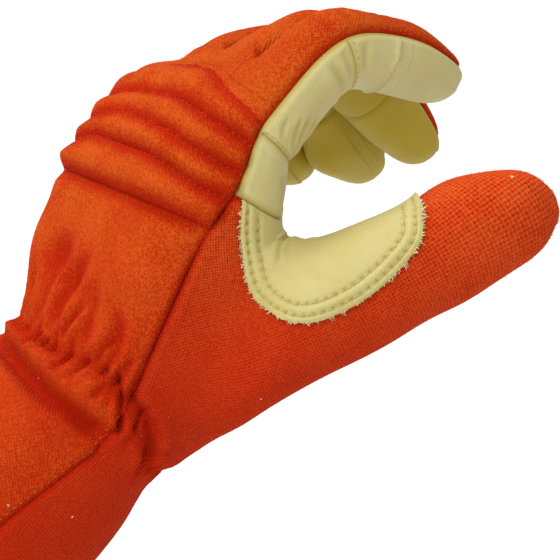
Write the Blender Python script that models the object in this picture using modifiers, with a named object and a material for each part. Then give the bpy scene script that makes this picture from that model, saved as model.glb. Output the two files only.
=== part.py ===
"""Left-hand firefighting glove, hollow and curled in a C-shaped grip, as separate sewn panels.

Frame: +Z up, +X to the right, +Y away from the side that shows the thumb. The origin is the
centre of the gathered wrist. The hand rises to the upper right, its back faces the upper left
and the viewer, and the forearm end of the cuff opens to the lower left.
"""

import math
from typing import NamedTuple

import bmesh
import bpy
from mathutils import Vector

MM = 0.001

# Directions of the hand, in degrees
HAND_RISE = 67.0
FOREARM_RISE = 41.0
PALM_TURN = 43.0

# Walls and clearances, in millimetres
WALL = 2.2
SEAM_GAP = 0.5
PATCH_CLEARANCE = 0.5
PATCH_LEATHER = 1.3

# Ribs of the knuckle pad: height in millimetres, cuts along each, columns that they fade over, roundness
RIB_HEIGHT = 3.4
RIB_ROW_CUTS = 1
RIB_FADE = 0.5
RIB_ROUNDNESS = 0.7

# Pleats at the elastic: millimetres deep, and rows of the body that they reach
PLEAT_DEPTH = 2.4
PLEAT_ROWS = 1.2

# The elastic runs obliquely round the wrist: its middle row, its rise, and the column where it is highest
ELASTIC_ROW = 4.25
ELASTIC_RISE = 0.5
ELASTIC_COLUMN = 4

# Looks of the solids: angle in degrees above which an edge stays sharp, and roughness of each cloth
SHARP_ANGLE = 50.0
KNIT_ROUGHNESS = 0.9
LEATHER_ROUGHNESS = 0.55

MERGE_DISTANCE = 0.01

FINGERS = 4
FINGER_ROW = 20
THUMB_ROW = 40
FINGER_SIDES = 8
LIMIT_SHRINK = 0.905
THUMB_SHRINK = 0.936


class BodyRing(NamedTuple):
    """One section of the cuff and hand: millimetres, along the arm from the wrist."""

    along: float
    half_width: float
    half_depth: float
    toward_thumb: float
    toward_back: float
    side_seam: float


BODY_RINGS = [
    BodyRing(-68, 50.0, 42.0, 0, 0, -0.90),
    BodyRing(-61, 49.5, 41.5, 0, 0, -0.90),
    BodyRing(-37, 46.5, 38.5, 0, 0, -0.90),
    BodyRing(-14, 42.5, 33.5, 0, -1, -0.93),
    BodyRing(0, 37.5, 29.0, 0, -1, -0.97),
    BodyRing(16, 41.0, 29.5, 3, -4, -0.83),
    BodyRing(33, 44.0, 25.5, 1, 0, -0.86),
    BodyRing(50, 46.5, 24.5, 0, 1, -0.86),
    BodyRing(67, 47.5, 22.5, 0, 2, -0.86),
    BodyRing(79, 48.0, 22.0, 0, 2.5, -0.95),
    BodyRing(91, 47.5, 21.5, 0, 3.5, -0.96),
]
HEM_LEVEL = 1
PALM_LEVEL = 5
THUMB_LEVELS = (5, 6, 7, 8)
PAD_LEVEL = 8
GUSSET_LEVEL = 9
INDEX_SEAM_LEVEL = 11
PAD_TOP_LEVEL = 12

# Rings past the knuckles, as shares of each finger's first bone, and the lift of the webs on the back
KNUCKLE_RUNS = [0.22, 0.40, 0.58]
WEB_LIFTS = [6.0, 5.5, 2.0]

# Twenty columns stand round a body ring: the thumb's edge, nine over the back, the far edge, nine under
# the palm. These shares of the half width, from the thumb's side, place all but the first of each nine.
SHARES_ACROSS = [-0.70, -0.48, -0.24, 0.0, 0.24, 0.48, 0.72, 0.93]
UNDER_THUMB_SHARE = -0.93
ROUNDNESS = 2.4
COLUMNS = 20
BACK_FIRST, BACK_LAST = 1, 9
PALM_SIDE_COLUMN = 18

# Vertices drawn out of the plain rings where the thumb and its web grow: (level, column): millimetres
# along the hand, across it and towards its back
WEB_PLACES = {
    (5, 19): (4, -42, -25),
    (5, 0): (14, -47, -8),
    (5, 18): (6, -27, -35),
    (6, 0): (30, -49, -3),
    (6, 18): (33, -28, -31),
    (7, 0): (48, -49, -3),
    (7, 18): (52, -30, -28),
    (8, 0): (65, -48, -3),
    (8, 19): (74, -43, -19),
    (8, 18): (72, -30, -24),
    (9, 0): (76, -47.5, -4),
    (9, 19): (75.5, -44, -12.5),
}


class Finger(NamedTuple):
    """One finger: millimetres and degrees. The knuckle is given along, across and towards the back."""

    name: str
    knuckle: tuple
    splay: float
    bends: tuple
    bones: tuple
    half_width: float
    half_depth: float


FINGER_TABLE = [
    Finger("index", (87.5, -34, 8.5), -5, (16.5, 56.5, 12), (48.5, 27, 30.5), 12.6, 13.4),
    Finger("middle", (90, -11.5, 9.5), -0.5, (31, 65, 14), (54, 37, 35.5), 12.2, 13.2),
    Finger("ring", (89.5, 10.5, 6.5), 3.5, (36, 68, 10), (53, 35.5, 37), 11.8, 12.8),
    Finger("little", (86, 31.5, 1.5), 8, (36, 68, 14), (41, 28, 33), 11.0, 12.0),
]
BEND_LENGTHS = (30.0, 24.0, 18.0)
CENTRELINE_STEP = 0.5

# Elevation above the side of the finger of its eight corners, and which side each is on
CORNER_ELEVATIONS = [-8, 35, 90, 35, -8, -50, -90, -50]
CORNER_SIDES = [-1, -1, 0, 1, 1, 1, 0, -1]


class FingerRing(NamedTuple):
    """One section of a finger: its bone, the share of that bone, an offset in millimetres, and its size."""

    bone: int
    share: float
    offset: float
    width_share: float
    depth_share: float


FINGER_RINGS = [
    FingerRing(0, 0.79, 0, 1.0, 1.0),
    FingerRing(1, 0.0, 0, 0.99, 1.03),
    FingerRing(1, 0.36, 0, 0.98, 0.98),
    FingerRing(2, 0.0, -3, 0.99, 1.0),
    FingerRing(2, 0.33, 0, 0.96, 0.96),
    FingerRing(2, 1.0, -9, 0.84, 0.83),
    FingerRing(2, 1.0, -2.5, 0.55, 0.52),
]
MIDDLE_SEAM_RING = 1
TIP_SEAM_RING = 3


class ThumbRing(NamedTuple):
    """One section of the thumb: its centre, half sizes up and towards the viewer in mm, lean in degrees."""

    x: float
    y: float
    z: float
    half_up: float
    half_side: float
    lean: float


THUMB_RINGS = [
    ThumbRing(60.8, -24, 21.8, 30.6, 20.0, 21.7),
    ThumbRing(76.0, -29, 28.5, 24.6, 18.5, 12.7),
    ThumbRing(92.8, -32, 37.0, 19.4, 17.0, -9.2),
    ThumbRing(111.6, -33, 47.2, 17.2, 16.0, -20.6),
    ThumbRing(123.5, -33, 53.1, 16.8, 15.5, -22.8),
    ThumbRing(134.3, -32, 57.6, 15.0, 14.0, -23.0),
    ThumbRing(142.7, -31, 59.9, 11.4, 10.5, -19.4),
    ThumbRing(148.6, -30, 61.2, 6.0, 5.5, -19.4),
]
THUMB_TIP = (151.0, -30, 61.8)
THUMB_SIDES = 10
THUMB_FIRST_ANGLE = 90.0
THUMB_LEATHER_SIDES = (6, 7, 8)


class PatchPoint(NamedTuple):
    """A point of the thumb patch's outline, seen from the thumb side, in millimetres."""

    x: float
    z: float


# From the upper corner nearest the fingers down and round. The first and the last three points stand
# above the web, where the patch runs over to its far side
PATCH_OUTLINE = [
    PatchPoint(52.7, 60),
    PatchPoint(52.9, 46),
    PatchPoint(57.0, 32),
    PatchPoint(70.5, 25),
    PatchPoint(88.0, 31),
    PatchPoint(103.0, 44.5),
    PatchPoint(107.2, 55),
    PatchPoint(103.0, 70),
    PatchPoint(78.0, 78),
    PatchPoint(56.0, 74),
]
PATCH_REACH = 70.0
PATCH_MIDDLE = -30.0

PANELS = [
    "cuff_hem",
    "back_panel",
    "knuckle_pad",
    "finger_backs",
    "thumb_shell",
    "thumb_front",
    "cuff_front",
    "palm_leather",
] + [f"{finger.name}_{part}" for finger in FINGER_TABLE for part in ("base", "middle", "tip")]

KNIT_PANELS = {"cuff_hem", "back_panel", "knuckle_pad", "finger_backs", "thumb_shell", "cuff_front"}
KNIT_COLOUR = (0.62, 0.08, 0.012, 1)
LEATHER_COLOUR = (0.62, 0.54, 0.22, 1)


def hand_axes(rise_degrees):
    """The directions along the arm, across it to the little finger and out of its back, at this rise."""
    rise, turn = math.radians(rise_degrees), math.radians(PALM_TURN)
    along = Vector((math.cos(rise), 0, math.sin(rise)))
    back_in_view = Vector((-math.sin(rise), 0, math.cos(rise)))
    away = Vector((0, 1, 0))
    across = math.cos(turn) * away + math.sin(turn) * back_in_view
    back = math.cos(turn) * back_in_view - math.sin(turn) * away
    return along, across, back


ALONG, ACROSS, BACK = hand_axes(HAND_RISE)


def in_hand(along, across, back):
    """A point given in the hand's own millimetres."""
    return (ALONG * along + ACROSS * across + BACK * back) * MM


def body_point_shares(side_seam):
    """Each column's shares of the half width and half depth, once round the ring."""
    over_back, under_palm = [], []
    for share in [side_seam] + SHARES_ACROSS:
        depth = (1 - abs(share) ** ROUNDNESS) ** (1 / ROUNDNESS)
        over_back.append((share, depth))
    for share in [UNDER_THUMB_SHARE] + SHARES_ACROSS:
        depth = (1 - abs(share) ** ROUNDNESS) ** (1 / ROUNDNESS)
        under_palm.insert(0, (share, -depth))
    return [(-1, 0)] + over_back + [(1, 0)] + under_palm


def body_ring(level):
    """The twenty corners of one ring of the cuff or hand."""
    ring = BODY_RINGS[level]
    bend = min(max((ring.along + 8) / 16, 0), 1)
    rise = FOREARM_RISE + (HAND_RISE - FOREARM_RISE) * bend
    _, across, back = hand_axes(rise)
    line = hand_axes(HAND_RISE if ring.along > 0 else FOREARM_RISE)[0]
    centre = line * ring.along - across * ring.toward_thumb + back * ring.toward_back
    corners = []
    for column, (share, depth) in enumerate(body_point_shares(ring.side_seam)):
        if (level, column) in WEB_PLACES:
            corners.append(in_hand(*WEB_PLACES[level, column]))
        else:
            reach = across * share * ring.half_width + back * depth * ring.half_depth
            corners.append((centre + reach) * MM)
    return corners


def smooth_step(x):
    x = min(max(x, 0), 1)
    return x * x * (3 - 2 * x)


class FingerLine:
    """The bent centreline of one finger, with the directions across it and out of its back."""

    def __init__(self, finger):
        self.finger = finger
        splay = math.radians(finger.splay)
        self.ahead = ALONG * math.cos(splay) + ACROSS * math.sin(splay)
        self.across = ACROSS * math.cos(splay) - ALONG * math.sin(splay)
        self.joints = [0, finger.bones[0], finger.bones[0] + finger.bones[1]]
        self.length = sum(finger.bones)

    def flex(self, run):
        """How far the finger has curled at this distance from its knuckle, in radians."""
        joints = zip(self.joints, self.finger.bends, BEND_LENGTHS)
        shares = (bend * smooth_step((run - at) / span + 0.5) for at, bend, span in joints)
        return math.radians(sum(shares))

    def frame(self, run):
        """Centre, direction across and direction out of the back at this distance from the knuckle."""
        point = in_hand(*self.finger.knuckle)
        steps = max(1, round(run / CENTRELINE_STEP))
        for i in range(steps):
            curl = self.flex((i + 0.5) * run / steps)
            point += (self.ahead * math.cos(curl) - BACK * math.sin(curl)) * (run / steps * MM)
        curl = self.flex(run)
        out = BACK * math.cos(curl) + self.ahead * math.sin(curl)
        return point, self.across, out

    def ring(self, run, width_share=1.0, depth_share=1.0):
        """The eight corners of a section, from the thumb side over the back."""
        centre, across, out = self.frame(run)
        half_width = self.finger.half_width * width_share / LIMIT_SHRINK * MM
        half_depth = self.finger.half_depth * depth_share / LIMIT_SHRINK * MM
        corners = []
        for elevation, side in zip(CORNER_ELEVATIONS, CORNER_SIDES):
            lift = math.radians(elevation)
            spread = across * side * math.cos(lift) * half_width
            corners.append(centre + spread + out * math.sin(lift) * half_depth)
        return corners

    def tip(self):
        return self.frame(self.length)[0]


def knuckle_ring(lines, share, web_lift):
    """A body ring past the knuckles: the four finger sections with their neighbouring corners made one."""
    rings = [line.ring(share * line.finger.bones[0]) for line in lines]
    middle = [(rings[i][3] + rings[i + 1][1]) / 2 + BACK * web_lift * MM for i in range(FINGERS - 1)]
    under = [(rings[i][5] + rings[i + 1][7]) / 2 for i in range(FINGERS - 1)]
    corners = [rings[0][0], rings[0][1]]
    for i in range(FINGERS):
        corners.append(rings[i][2])
        if i < FINGERS - 1:
            corners.append(middle[i])
    corners += [rings[3][3], rings[3][4], rings[3][5]]
    for i in reversed(range(FINGERS)):
        corners.append(rings[i][6])
        if i > 0:
            corners.append(under[i - 1])
    return corners + [rings[0][7]]


def extrude_ring(bm, ring, places, panels, row):
    """Extrudes a closed loop of vertices to new places. Each new face gets its panel, column and row."""
    count = len(ring)
    edges = [bm.edges.get(pair) or bm.edges.new(pair) for pair in zip(ring, ring[1:] + ring[:1])]
    made = bmesh.ops.extrude_edge_only(bm, edges=edges)["geom"]
    at = {v.co.to_tuple(8): v for v in made if isinstance(v, bmesh.types.BMVert)}
    following = [at[v.co.to_tuple(8)] for v in ring]
    chart = bm.loops.layers.uv.verify()
    for i, vertex in enumerate(ring):
        sides = {vertex, ring[(i + 1) % count], following[i], following[(i + 1) % count]}
        face = next(f for f in following[i].link_faces if set(f.verts) == sides)
        face.material_index = PANELS.index(panels[i])
        for loop in face.loops:
            column = i if loop.vert in (vertex, following[i]) else i + 1
            loop[chart].uv = (column, row + (loop.vert in following))
    for vertex, place in zip(following, places):
        vertex.co = place
    return following


def body_panels(level):
    """The panel of each column between this ring and the next."""
    panels = []
    for column in range(COLUMNS):
        if level < HEM_LEVEL:
            panels.append("cuff_hem")
        elif BACK_FIRST <= column < BACK_LAST:
            over = "back_panel" if level < PAD_LEVEL else "knuckle_pad"
            panels.append(over if level < PAD_TOP_LEVEL else "finger_backs")
        elif column in (0, 19) and level < GUSSET_LEVEL:
            panels.append("thumb_shell")
        elif column == PALM_SIDE_COLUMN and level < PALM_LEVEL:
            panels.append("thumb_shell")
        elif column in (0, 18, 19) and level >= INDEX_SEAM_LEVEL:
            panels.append("index_base")
        else:
            panels.append("cuff_front" if level < PALM_LEVEL else "palm_leather")
    return panels


def add_body(bm, lines):
    """The cuff and the hand as one tube of rings, up to the crotches of the fingers."""
    places = [body_ring(level) for level in range(len(BODY_RINGS))]
    places += [knuckle_ring(lines, share, lift) for share, lift in zip(KNUCKLE_RUNS, WEB_LIFTS)]
    rings = [[bm.verts.new(p) for p in places[0]]]
    for level in range(1, len(places)):
        rings.append(extrude_ring(bm, rings[-1], places[level], body_panels(level - 1), level - 1))
    return rings


def add_fingers(bm, last_ring, lines):
    """Each finger from the crotch ring to its tip."""
    webs = [(last_ring[1 + 2 * i].co + last_ring[19 - 2 * i].co) / 2 for i in range(1, FINGERS)]
    webs = [bm.verts.new(place) for place in webs]
    for i, line in enumerate(lines):
        over = last_ring[1 + 2 * i : 4 + 2 * i]
        under = last_ring[17 - 2 * i : 20 - 2 * i]
        near = last_ring[0] if i == 0 else webs[i - 1]
        far = last_ring[10] if i == FINGERS - 1 else webs[i]
        ring = [near] + over + [far] + under
        for j, section in enumerate(FINGER_RINGS):
            start = line.joints[section.bone]
            run = start + section.share * line.finger.bones[section.bone] + section.offset
            part = "base" if j <= MIDDLE_SEAM_RING else "middle" if j <= TIP_SEAM_RING else "tip"
            panels = finger_panels(line.finger.name, part)
            places = line.ring(run, section.width_share, section.depth_share)
            ring = extrude_ring(bm, ring, places, panels, FINGER_ROW + j)
        tip_panels = finger_panels(line.finger.name, "tip")
        close_tip(bm, ring, line.tip(), tip_panels, FINGER_ROW + len(FINGER_RINGS))


def finger_panels(name, part):
    """Knit over the back of the finger and leather round the rest of it."""
    leather = f"{name}_{part}"
    return [leather, "finger_backs", "finger_backs"] + [leather] * (FINGER_SIDES - 3)


def close_tip(bm, ring, place, panels, row):
    """A fan of faces from a ring to one vertex at the tip."""
    following = extrude_ring(bm, ring, [place] * len(ring), panels, row)
    bmesh.ops.pointmerge(bm, verts=following, merge_co=place)


def thumb_places(section):
    """The ten corners of a section of the thumb, from its top round the side that shows."""
    lean = math.radians(section.lean)
    up = Vector((math.sin(lean), 0, math.cos(lean))) * section.half_up / THUMB_SHRINK * MM
    side = Vector((0, -1, 0)) * section.half_side / THUMB_SHRINK * MM
    centre = Vector((section.x, section.y, section.z)) * MM
    step = 360 / THUMB_SIDES
    angles = [math.radians(THUMB_FIRST_ANGLE - step * i) for i in range(THUMB_SIDES)]
    return [centre + up * math.sin(a) + side * math.cos(a) for a in angles]


def add_thumb(bm, rings):
    """Opens the thumb side of the hand and grows the thumb from the opening."""
    low, *middle, high = THUMB_LEVELS
    inner = [rings[level][19] for level in middle]
    bmesh.ops.delete(bm, geom=inner, context="VERTS")
    loop = [rings[high][19]] + [rings[level][0] for level in reversed(THUMB_LEVELS)]
    loop += [rings[low][19]] + [rings[level][PALM_SIDE_COLUMN] for level in THUMB_LEVELS]
    panels = ["thumb_shell"] * THUMB_SIDES
    for side in THUMB_LEATHER_SIDES:
        panels[side] = "thumb_front"
    for i, section in enumerate(THUMB_RINGS):
        loop = extrude_ring(bm, loop, thumb_places(section), panels, THUMB_ROW + i)
    close_tip(bm, loop, Vector(THUMB_TIP) * MM, panels, THUMB_ROW + len(THUMB_RINGS))


def glove_cage():
    """The coarse outer surface of the whole glove, each face numbered with its panel."""
    bm = bmesh.new()
    lines = [FingerLine(finger) for finger in FINGER_TABLE]
    rings = add_body(bm, lines)
    add_fingers(bm, rings[-1], lines)
    add_thumb(bm, rings)
    bmesh.ops.recalc_face_normals(bm, faces=bm.faces)
    return bm


def smoothed(cage):
    """The cage after one round of subdivision, as a new bmesh."""
    mesh = bpy.data.meshes.new("skin")
    cage.to_mesh(mesh)
    cage.free()
    guide = bpy.data.objects.new("skin", mesh)
    bpy.context.scene.collection.objects.link(guide)
    smooth = guide.modifiers.new("smooth", "SUBSURF")
    smooth.levels = smooth.render_levels = 1
    smooth.uv_smooth = "NONE"
    seen = guide.evaluated_get(bpy.context.evaluated_depsgraph_get())
    skin = bmesh.new()
    skin.from_mesh(seen.to_mesh())
    bpy.data.objects.remove(guide)
    return skin


def chart_place(vertex, chart):
    """The column and row of a vertex. Where the hand meets a finger or the thumb, they are the hand's."""
    return min((loop[chart].uv for loop in vertex.link_loops), key=lambda place: place.y)


def elastic_row(column):
    """The row of the body where the elastic crosses this column."""
    return ELASTIC_ROW + ELASTIC_RISE * math.cos(2 * math.pi * (column - ELASTIC_COLUMN) / COLUMNS)


def gather_wrist(skin):
    """Pleats along the elastic, deepest at it and half way between two columns."""
    chart = skin.loops.layers.uv.verify()
    depths = {}
    for vertex in skin.verts:
        column, row = chart_place(vertex, chart)
        near = smooth_step(1 - abs(row - elastic_row(column)) / PLEAT_ROWS)
        depths[vertex] = PLEAT_DEPTH * near * (0.5 - 0.5 * math.cos(2 * math.pi * column))
    for vertex, depth in depths.items():
        vertex.co -= vertex.normal * depth * MM


def rib_height(column, row):
    """How far the padding stands up at this place of the knuckle pad, in millimetres."""
    phase = (row - PAD_LEVEL) % 1.0
    side = min(column - BACK_FIRST, BACK_LAST - column)
    return RIB_HEIGHT * math.sin(math.pi * phase) ** RIB_ROUNDNESS * smooth_step(side / RIB_FADE)


def raise_ribs(panel, outward):
    """Cuts the rows of the knuckle pad finer and lifts one padded rib between each two valleys."""
    chart = panel.loops.layers.uv.verify()
    lengthwise = []
    for edge in panel.edges:
        ends = [chart_place(v, chart) for v in edge.verts]
        if abs(ends[0].y - ends[1].y) > abs(ends[0].x - ends[1].x):
            lengthwise.append(edge)
    bmesh.ops.subdivide_edges(panel, edges=lengthwise, cuts=RIB_ROW_CUTS, use_grid_fill=True)
    for vertex in panel.verts:
        column, row = chart_place(vertex, chart)
        vertex.co += vertex[outward].normalized() * rib_height(column, row) * MM


def inward(vertex):
    """The direction along the surface from an edge vertex of a panel into the panel."""
    centres = [face.calc_center_median() for face in vertex.link_faces]
    away = sum(centres, Vector()) / len(centres) - vertex.co
    rim = [edge.other_vert(vertex).co - vertex.co for edge in vertex.link_edges if edge.is_boundary]
    along = (rim[0].normalized() - rim[1].normalized()) if len(rim) == 2 else Vector()
    if along.length > 0.5:
        away -= away.project(along)
    return away.normalized()


def cut_panel(skin, name):
    """The faces of one panel, drawn back from its seams, and the layer of its outward directions."""
    panel = skin.copy()
    outward = panel.verts.layers.float_vector.new("outward")
    for vertex in panel.verts:
        vertex[outward] = vertex.normal
    others = [f for f in panel.faces if PANELS[f.material_index] != name]
    bmesh.ops.delete(panel, geom=others, context="FACES")
    moves = {v: inward(v) for v in panel.verts if v.is_boundary}
    for vertex, move in moves.items():
        vertex.co += move * SEAM_GAP / 2 * MM
    if name != "knuckle_pad":
        bmesh.ops.triangulate(panel, faces=panel.faces)
    return panel, outward


def thicken(panel, outward, thickness):
    """Closes an open panel into a wall by extruding it against its outward directions."""
    made = bmesh.ops.extrude_face_region(panel, geom=list(panel.faces), use_keep_orig=True)["geom"]
    for vertex in made:
        if isinstance(vertex, bmesh.types.BMVert):
            vertex.co -= vertex[outward].normalized() * thickness * MM
    bmesh.ops.recalc_face_normals(panel, faces=panel.faces)
    bmesh.ops.triangulate(panel, faces=panel.faces)


def add_object(name, bm, colour, roughness):
    """Turns a finished bmesh into a named object with its own material."""
    mesh = bpy.data.meshes.new(name)
    bm.to_mesh(mesh)
    bm.free()
    material = bpy.data.materials.new(name)
    material.use_nodes = True
    shader = material.node_tree.nodes["Principled BSDF"]
    shader.inputs["Base Color"].default_value = colour
    shader.inputs["Roughness"].default_value = roughness
    mesh.materials.clear()
    mesh.materials.append(material)
    for polygon in mesh.polygons:
        polygon.material_index = 0
    mesh.shade_smooth()
    mesh.set_sharp_from_angle(angle=math.radians(SHARP_ANGLE))
    obj = bpy.data.objects.new(name, mesh)
    bpy.data.collections["firefighting_glove"].objects.link(obj)
    return obj


def is_leather(name):
    return name not in KNIT_PANELS


def add_panel(skin, name):
    """One sewn panel of the glove as a wall of its own."""
    panel, outward = cut_panel(skin, name)
    if name == "knuckle_pad":
        raise_ribs(panel, outward)
    thicken(panel, outward, WALL)
    if is_leather(name):
        add_object(name, panel, LEATHER_COLOUR, LEATHER_ROUGHNESS)
    else:
        add_object(name, panel, KNIT_COLOUR, KNIT_ROUGHNESS)


def patch_cutter():
    """A prism with the outline of the thumb patch, standing along Y."""
    curve = bpy.data.curves.new("patch_outline", "CURVE")
    curve.dimensions = "2D"
    curve.fill_mode = "BOTH"
    curve.extrude = PATCH_REACH / 2 * MM
    curve.resolution_u = 5
    spline = curve.splines.new("BEZIER")
    spline.bezier_points.add(len(PATCH_OUTLINE) - 1)
    for point, place in zip(spline.bezier_points, PATCH_OUTLINE):
        point.co = (place.x * MM, place.z * MM, 0)
        point.handle_left_type = point.handle_right_type = "AUTO"
    spline.use_cyclic_u = True
    outline = bpy.data.objects.new("patch_outline", curve)
    outline.rotation_euler.x = math.radians(90)
    outline.location.y = PATCH_MIDDLE * MM
    bpy.data.collections["cutters"].objects.link(outline)
    bpy.context.view_layer.update()
    seen = outline.evaluated_get(bpy.context.evaluated_depsgraph_get())
    mesh = bpy.data.meshes.new_from_object(seen)
    bm = bmesh.new()
    bm.from_mesh(mesh)
    bmesh.ops.remove_doubles(bm, verts=bm.verts, dist=MERGE_DISTANCE * MM)
    bmesh.ops.recalc_face_normals(bm, faces=bm.faces)
    bm.to_mesh(mesh)
    bm.free()
    cutter = bpy.data.objects.new("patch_cutter", mesh)
    cutter.matrix_world = outline.matrix_world
    cutter.hide_render = True
    cutter.display_type = "WIRE"
    bpy.data.collections["cutters"].objects.link(cutter)
    bpy.data.objects.remove(outline)
    return cutter


def add_thumb_patch(skin):
    """A leather patch over the web of the thumb: a thin shell just clear of the knit, cut to its outline."""
    patch, outward = cut_panel(skin, "thumb_shell")
    for vertex in patch.verts:
        vertex.co += vertex[outward] * (PATCH_CLEARANCE + PATCH_LEATHER) * MM
    thicken(patch, outward, PATCH_LEATHER)
    obj = add_object("thumb_patch", patch, LEATHER_COLOUR, LEATHER_ROUGHNESS)
    cut = obj.modifiers.new("outline", "BOOLEAN")
    cut.operation = "INTERSECT"
    cut.object = patch_cutter()


def main():
    for obj in list(bpy.data.objects):
        bpy.data.objects.remove(obj)
    for name in ("firefighting_glove", "cutters"):
        group = bpy.data.collections.new(name)
        bpy.context.scene.collection.children.link(group)
    skin = smoothed(glove_cage())
    gather_wrist(skin)
    skin.normal_update()
    for name in PANELS:
        add_panel(skin, name)
    add_thumb_patch(skin)
    skin.free()


main()
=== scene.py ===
"""Looks of a left-hand firefighting glove: fine knit, grain leather, padded ribs, gathers and stitches.

The surface is built again from the same sections as the solids, subdivided finely, shaped with folds,
ribs and creases, and cut into the same sewn panels. Lengths in the tables are millimetres.
"""

import logging
import math
import random
from dataclasses import dataclass, field
from enum import Enum
from typing import Iterable, NamedTuple

import bmesh
import bpy
import numpy as np
from mathutils import Matrix, Vector
from mathutils.bvhtree import BVHTree
from mathutils.kdtree import KDTree


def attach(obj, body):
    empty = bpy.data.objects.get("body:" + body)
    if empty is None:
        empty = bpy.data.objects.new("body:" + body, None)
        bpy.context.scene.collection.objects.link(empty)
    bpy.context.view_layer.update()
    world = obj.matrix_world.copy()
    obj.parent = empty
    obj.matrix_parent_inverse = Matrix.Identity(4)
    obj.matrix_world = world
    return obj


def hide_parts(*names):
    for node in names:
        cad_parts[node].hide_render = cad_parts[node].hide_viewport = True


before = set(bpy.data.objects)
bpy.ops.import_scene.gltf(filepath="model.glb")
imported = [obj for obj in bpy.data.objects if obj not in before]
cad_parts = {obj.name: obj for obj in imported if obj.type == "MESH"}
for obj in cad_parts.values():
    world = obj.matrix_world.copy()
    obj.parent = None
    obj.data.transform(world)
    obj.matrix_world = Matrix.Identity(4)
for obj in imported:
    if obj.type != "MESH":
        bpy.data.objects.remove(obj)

MM = 0.001
LOG = logging.getLogger("glove")
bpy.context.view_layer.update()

HAND_RISE = 67.0
FOREARM_RISE = 41.0
PALM_TURN = 43.0
WALL = 2.0
SEAM_GAP = 0.14
FINGERS = 4
FINGER_SIDES = 8
LIMIT_SHRINK = 0.905
THUMB_SHRINK = 0.936
FINGER_ROW = 20
THUMB_ROW = 40
FINGER_COLUMNS = 30
SPAN = 10
FINE_LEVELS = 3
GRID = 16

Colour = tuple[float, float, float, float]
ChartPath = tuple[tuple[float, float], ...]


class BodyRing(NamedTuple):
    """One section of the cuff and hand, measured along the arm from the wrist."""

    along: float
    half_width: float
    half_depth: float
    toward_thumb: float
    toward_back: float
    side_seam: float


class Finger(NamedTuple):
    """One finger: its knuckle along, across and towards the back, in millimetres, and its bends in degrees."""

    name: str
    knuckle: tuple[float, float, float]
    splay: float
    bends: tuple[float, float, float]
    bones: tuple[float, float, float]
    half_width: float
    half_depth: float


class FingerRing(NamedTuple):
    """One section of a finger: its bone, the share of that bone, an offset in millimetres, and its size."""

    bone: int
    share: float
    offset: float
    width_share: float
    depth_share: float


class ThumbRing(NamedTuple):
    """One section of the thumb: its centre, half sizes upwards and towards the viewer, and lean in degrees."""

    x: float
    y: float
    z: float
    half_up: float
    half_side: float
    lean: float


BODY_RINGS = [
    BodyRing(-68, 50.0, 42.0, 0, 0, -0.90),
    BodyRing(-61, 49.5, 41.5, 0, 0, -0.90),
    BodyRing(-37, 46.5, 38.5, 0, 0, -0.90),
    BodyRing(-14, 42.5, 33.5, 0, -1, -0.93),
    BodyRing(0, 37.5, 29.0, 0, -1, -0.97),
    BodyRing(16, 41.0, 29.5, 3, -4, -0.83),
    BodyRing(33, 44.0, 25.5, 1, 0, -0.86),
    BodyRing(50, 46.5, 24.5, 0, 1, -0.86),
    BodyRing(67, 47.5, 22.5, 0, 2, -0.86),
    BodyRing(79, 48.0, 22.0, 0, 2.5, -0.95),
    BodyRing(91, 47.5, 21.5, 0, 3.5, -0.96),
]
HEM_LEVEL = 1
PALM_LEVEL = 5
THUMB_LEVELS = (5, 6, 7, 8)
PAD_LEVEL = 8
GUSSET_LEVEL = 9
INDEX_SEAM_LEVEL = 11
PAD_TOP_LEVEL = 12

# Rings past the knuckles, as shares of each finger's first bone, and the lift of the webs on the back
KNUCKLE_RUNS = [0.22, 0.40, 0.58]
WEB_LIFTS = [6.0, 5.5, 2.0]

# The twenty columns round a body ring: side of the thumb, over the back, little-finger side, palm
SHARES_ACROSS = [-0.70, -0.48, -0.24, 0.0, 0.24, 0.48, 0.72, 0.93]
UNDER_THUMB_SHARE = -0.93
ROUNDNESS = 2.4
COLUMNS = 20
BACK_FIRST, BACK_LAST = 1, 9
PALM_SIDE_COLUMN = 18

# Vertices drawn out of the plain rings where the thumb and its web grow
WEB_PLACES = {
    (5, 19): (4, -42, -25),
    (5, 0): (14, -47, -8),
    (5, 18): (6, -27, -35),
    (6, 0): (30, -49, -3),
    (6, 18): (33, -28, -31),
    (7, 0): (48, -49, -3),
    (7, 18): (52, -30, -28),
    (8, 0): (65, -48, -3),
    (8, 19): (74, -43, -19),
    (8, 18): (72, -30, -24),
    (9, 0): (76, -47.5, -4),
    (9, 19): (75.5, -44, -12.5),
}

FINGER_TABLE = [
    Finger("index", (87.5, -34, 8.5), -5, (16.5, 56.5, 12), (48.5, 27, 30.5), 12.6, 13.4),
    Finger("middle", (90, -11.5, 9.5), -0.5, (31, 65, 14), (54, 37, 35.5), 12.2, 13.2),
    Finger("ring", (89.5, 10.5, 6.5), 3.5, (36, 68, 10), (53, 35.5, 37), 11.8, 12.8),
    Finger("little", (86, 31.5, 1.5), 8, (36, 68, 14), (41, 28, 33), 11.0, 12.0),
]
BEND_LENGTHS = (30.0, 24.0, 18.0)
CENTRELINE_STEP = 0.5

# Elevation above the side of the finger of its eight corners, and which side each is on
CORNER_ELEVATIONS = [-8, 35, 90, 35, -8, -50, -90, -50]
CORNER_SIDES = [-1, -1, 0, 1, 1, 1, 0, -1]

FINGER_RINGS = [
    FingerRing(0, 0.79, 0, 1.0, 1.0),
    FingerRing(1, 0.0, 0, 0.99, 1.03),
    FingerRing(1, 0.36, 0, 0.98, 0.98),
    FingerRing(2, 0.0, -3, 0.99, 1.0),
    FingerRing(2, 0.33, 0, 0.96, 0.96),
    FingerRing(2, 1.0, -9, 0.84, 0.83),
    FingerRing(2, 1.0, -2.5, 0.55, 0.52),
]
MIDDLE_SEAM_RING = 1
TIP_SEAM_RING = 3

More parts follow.
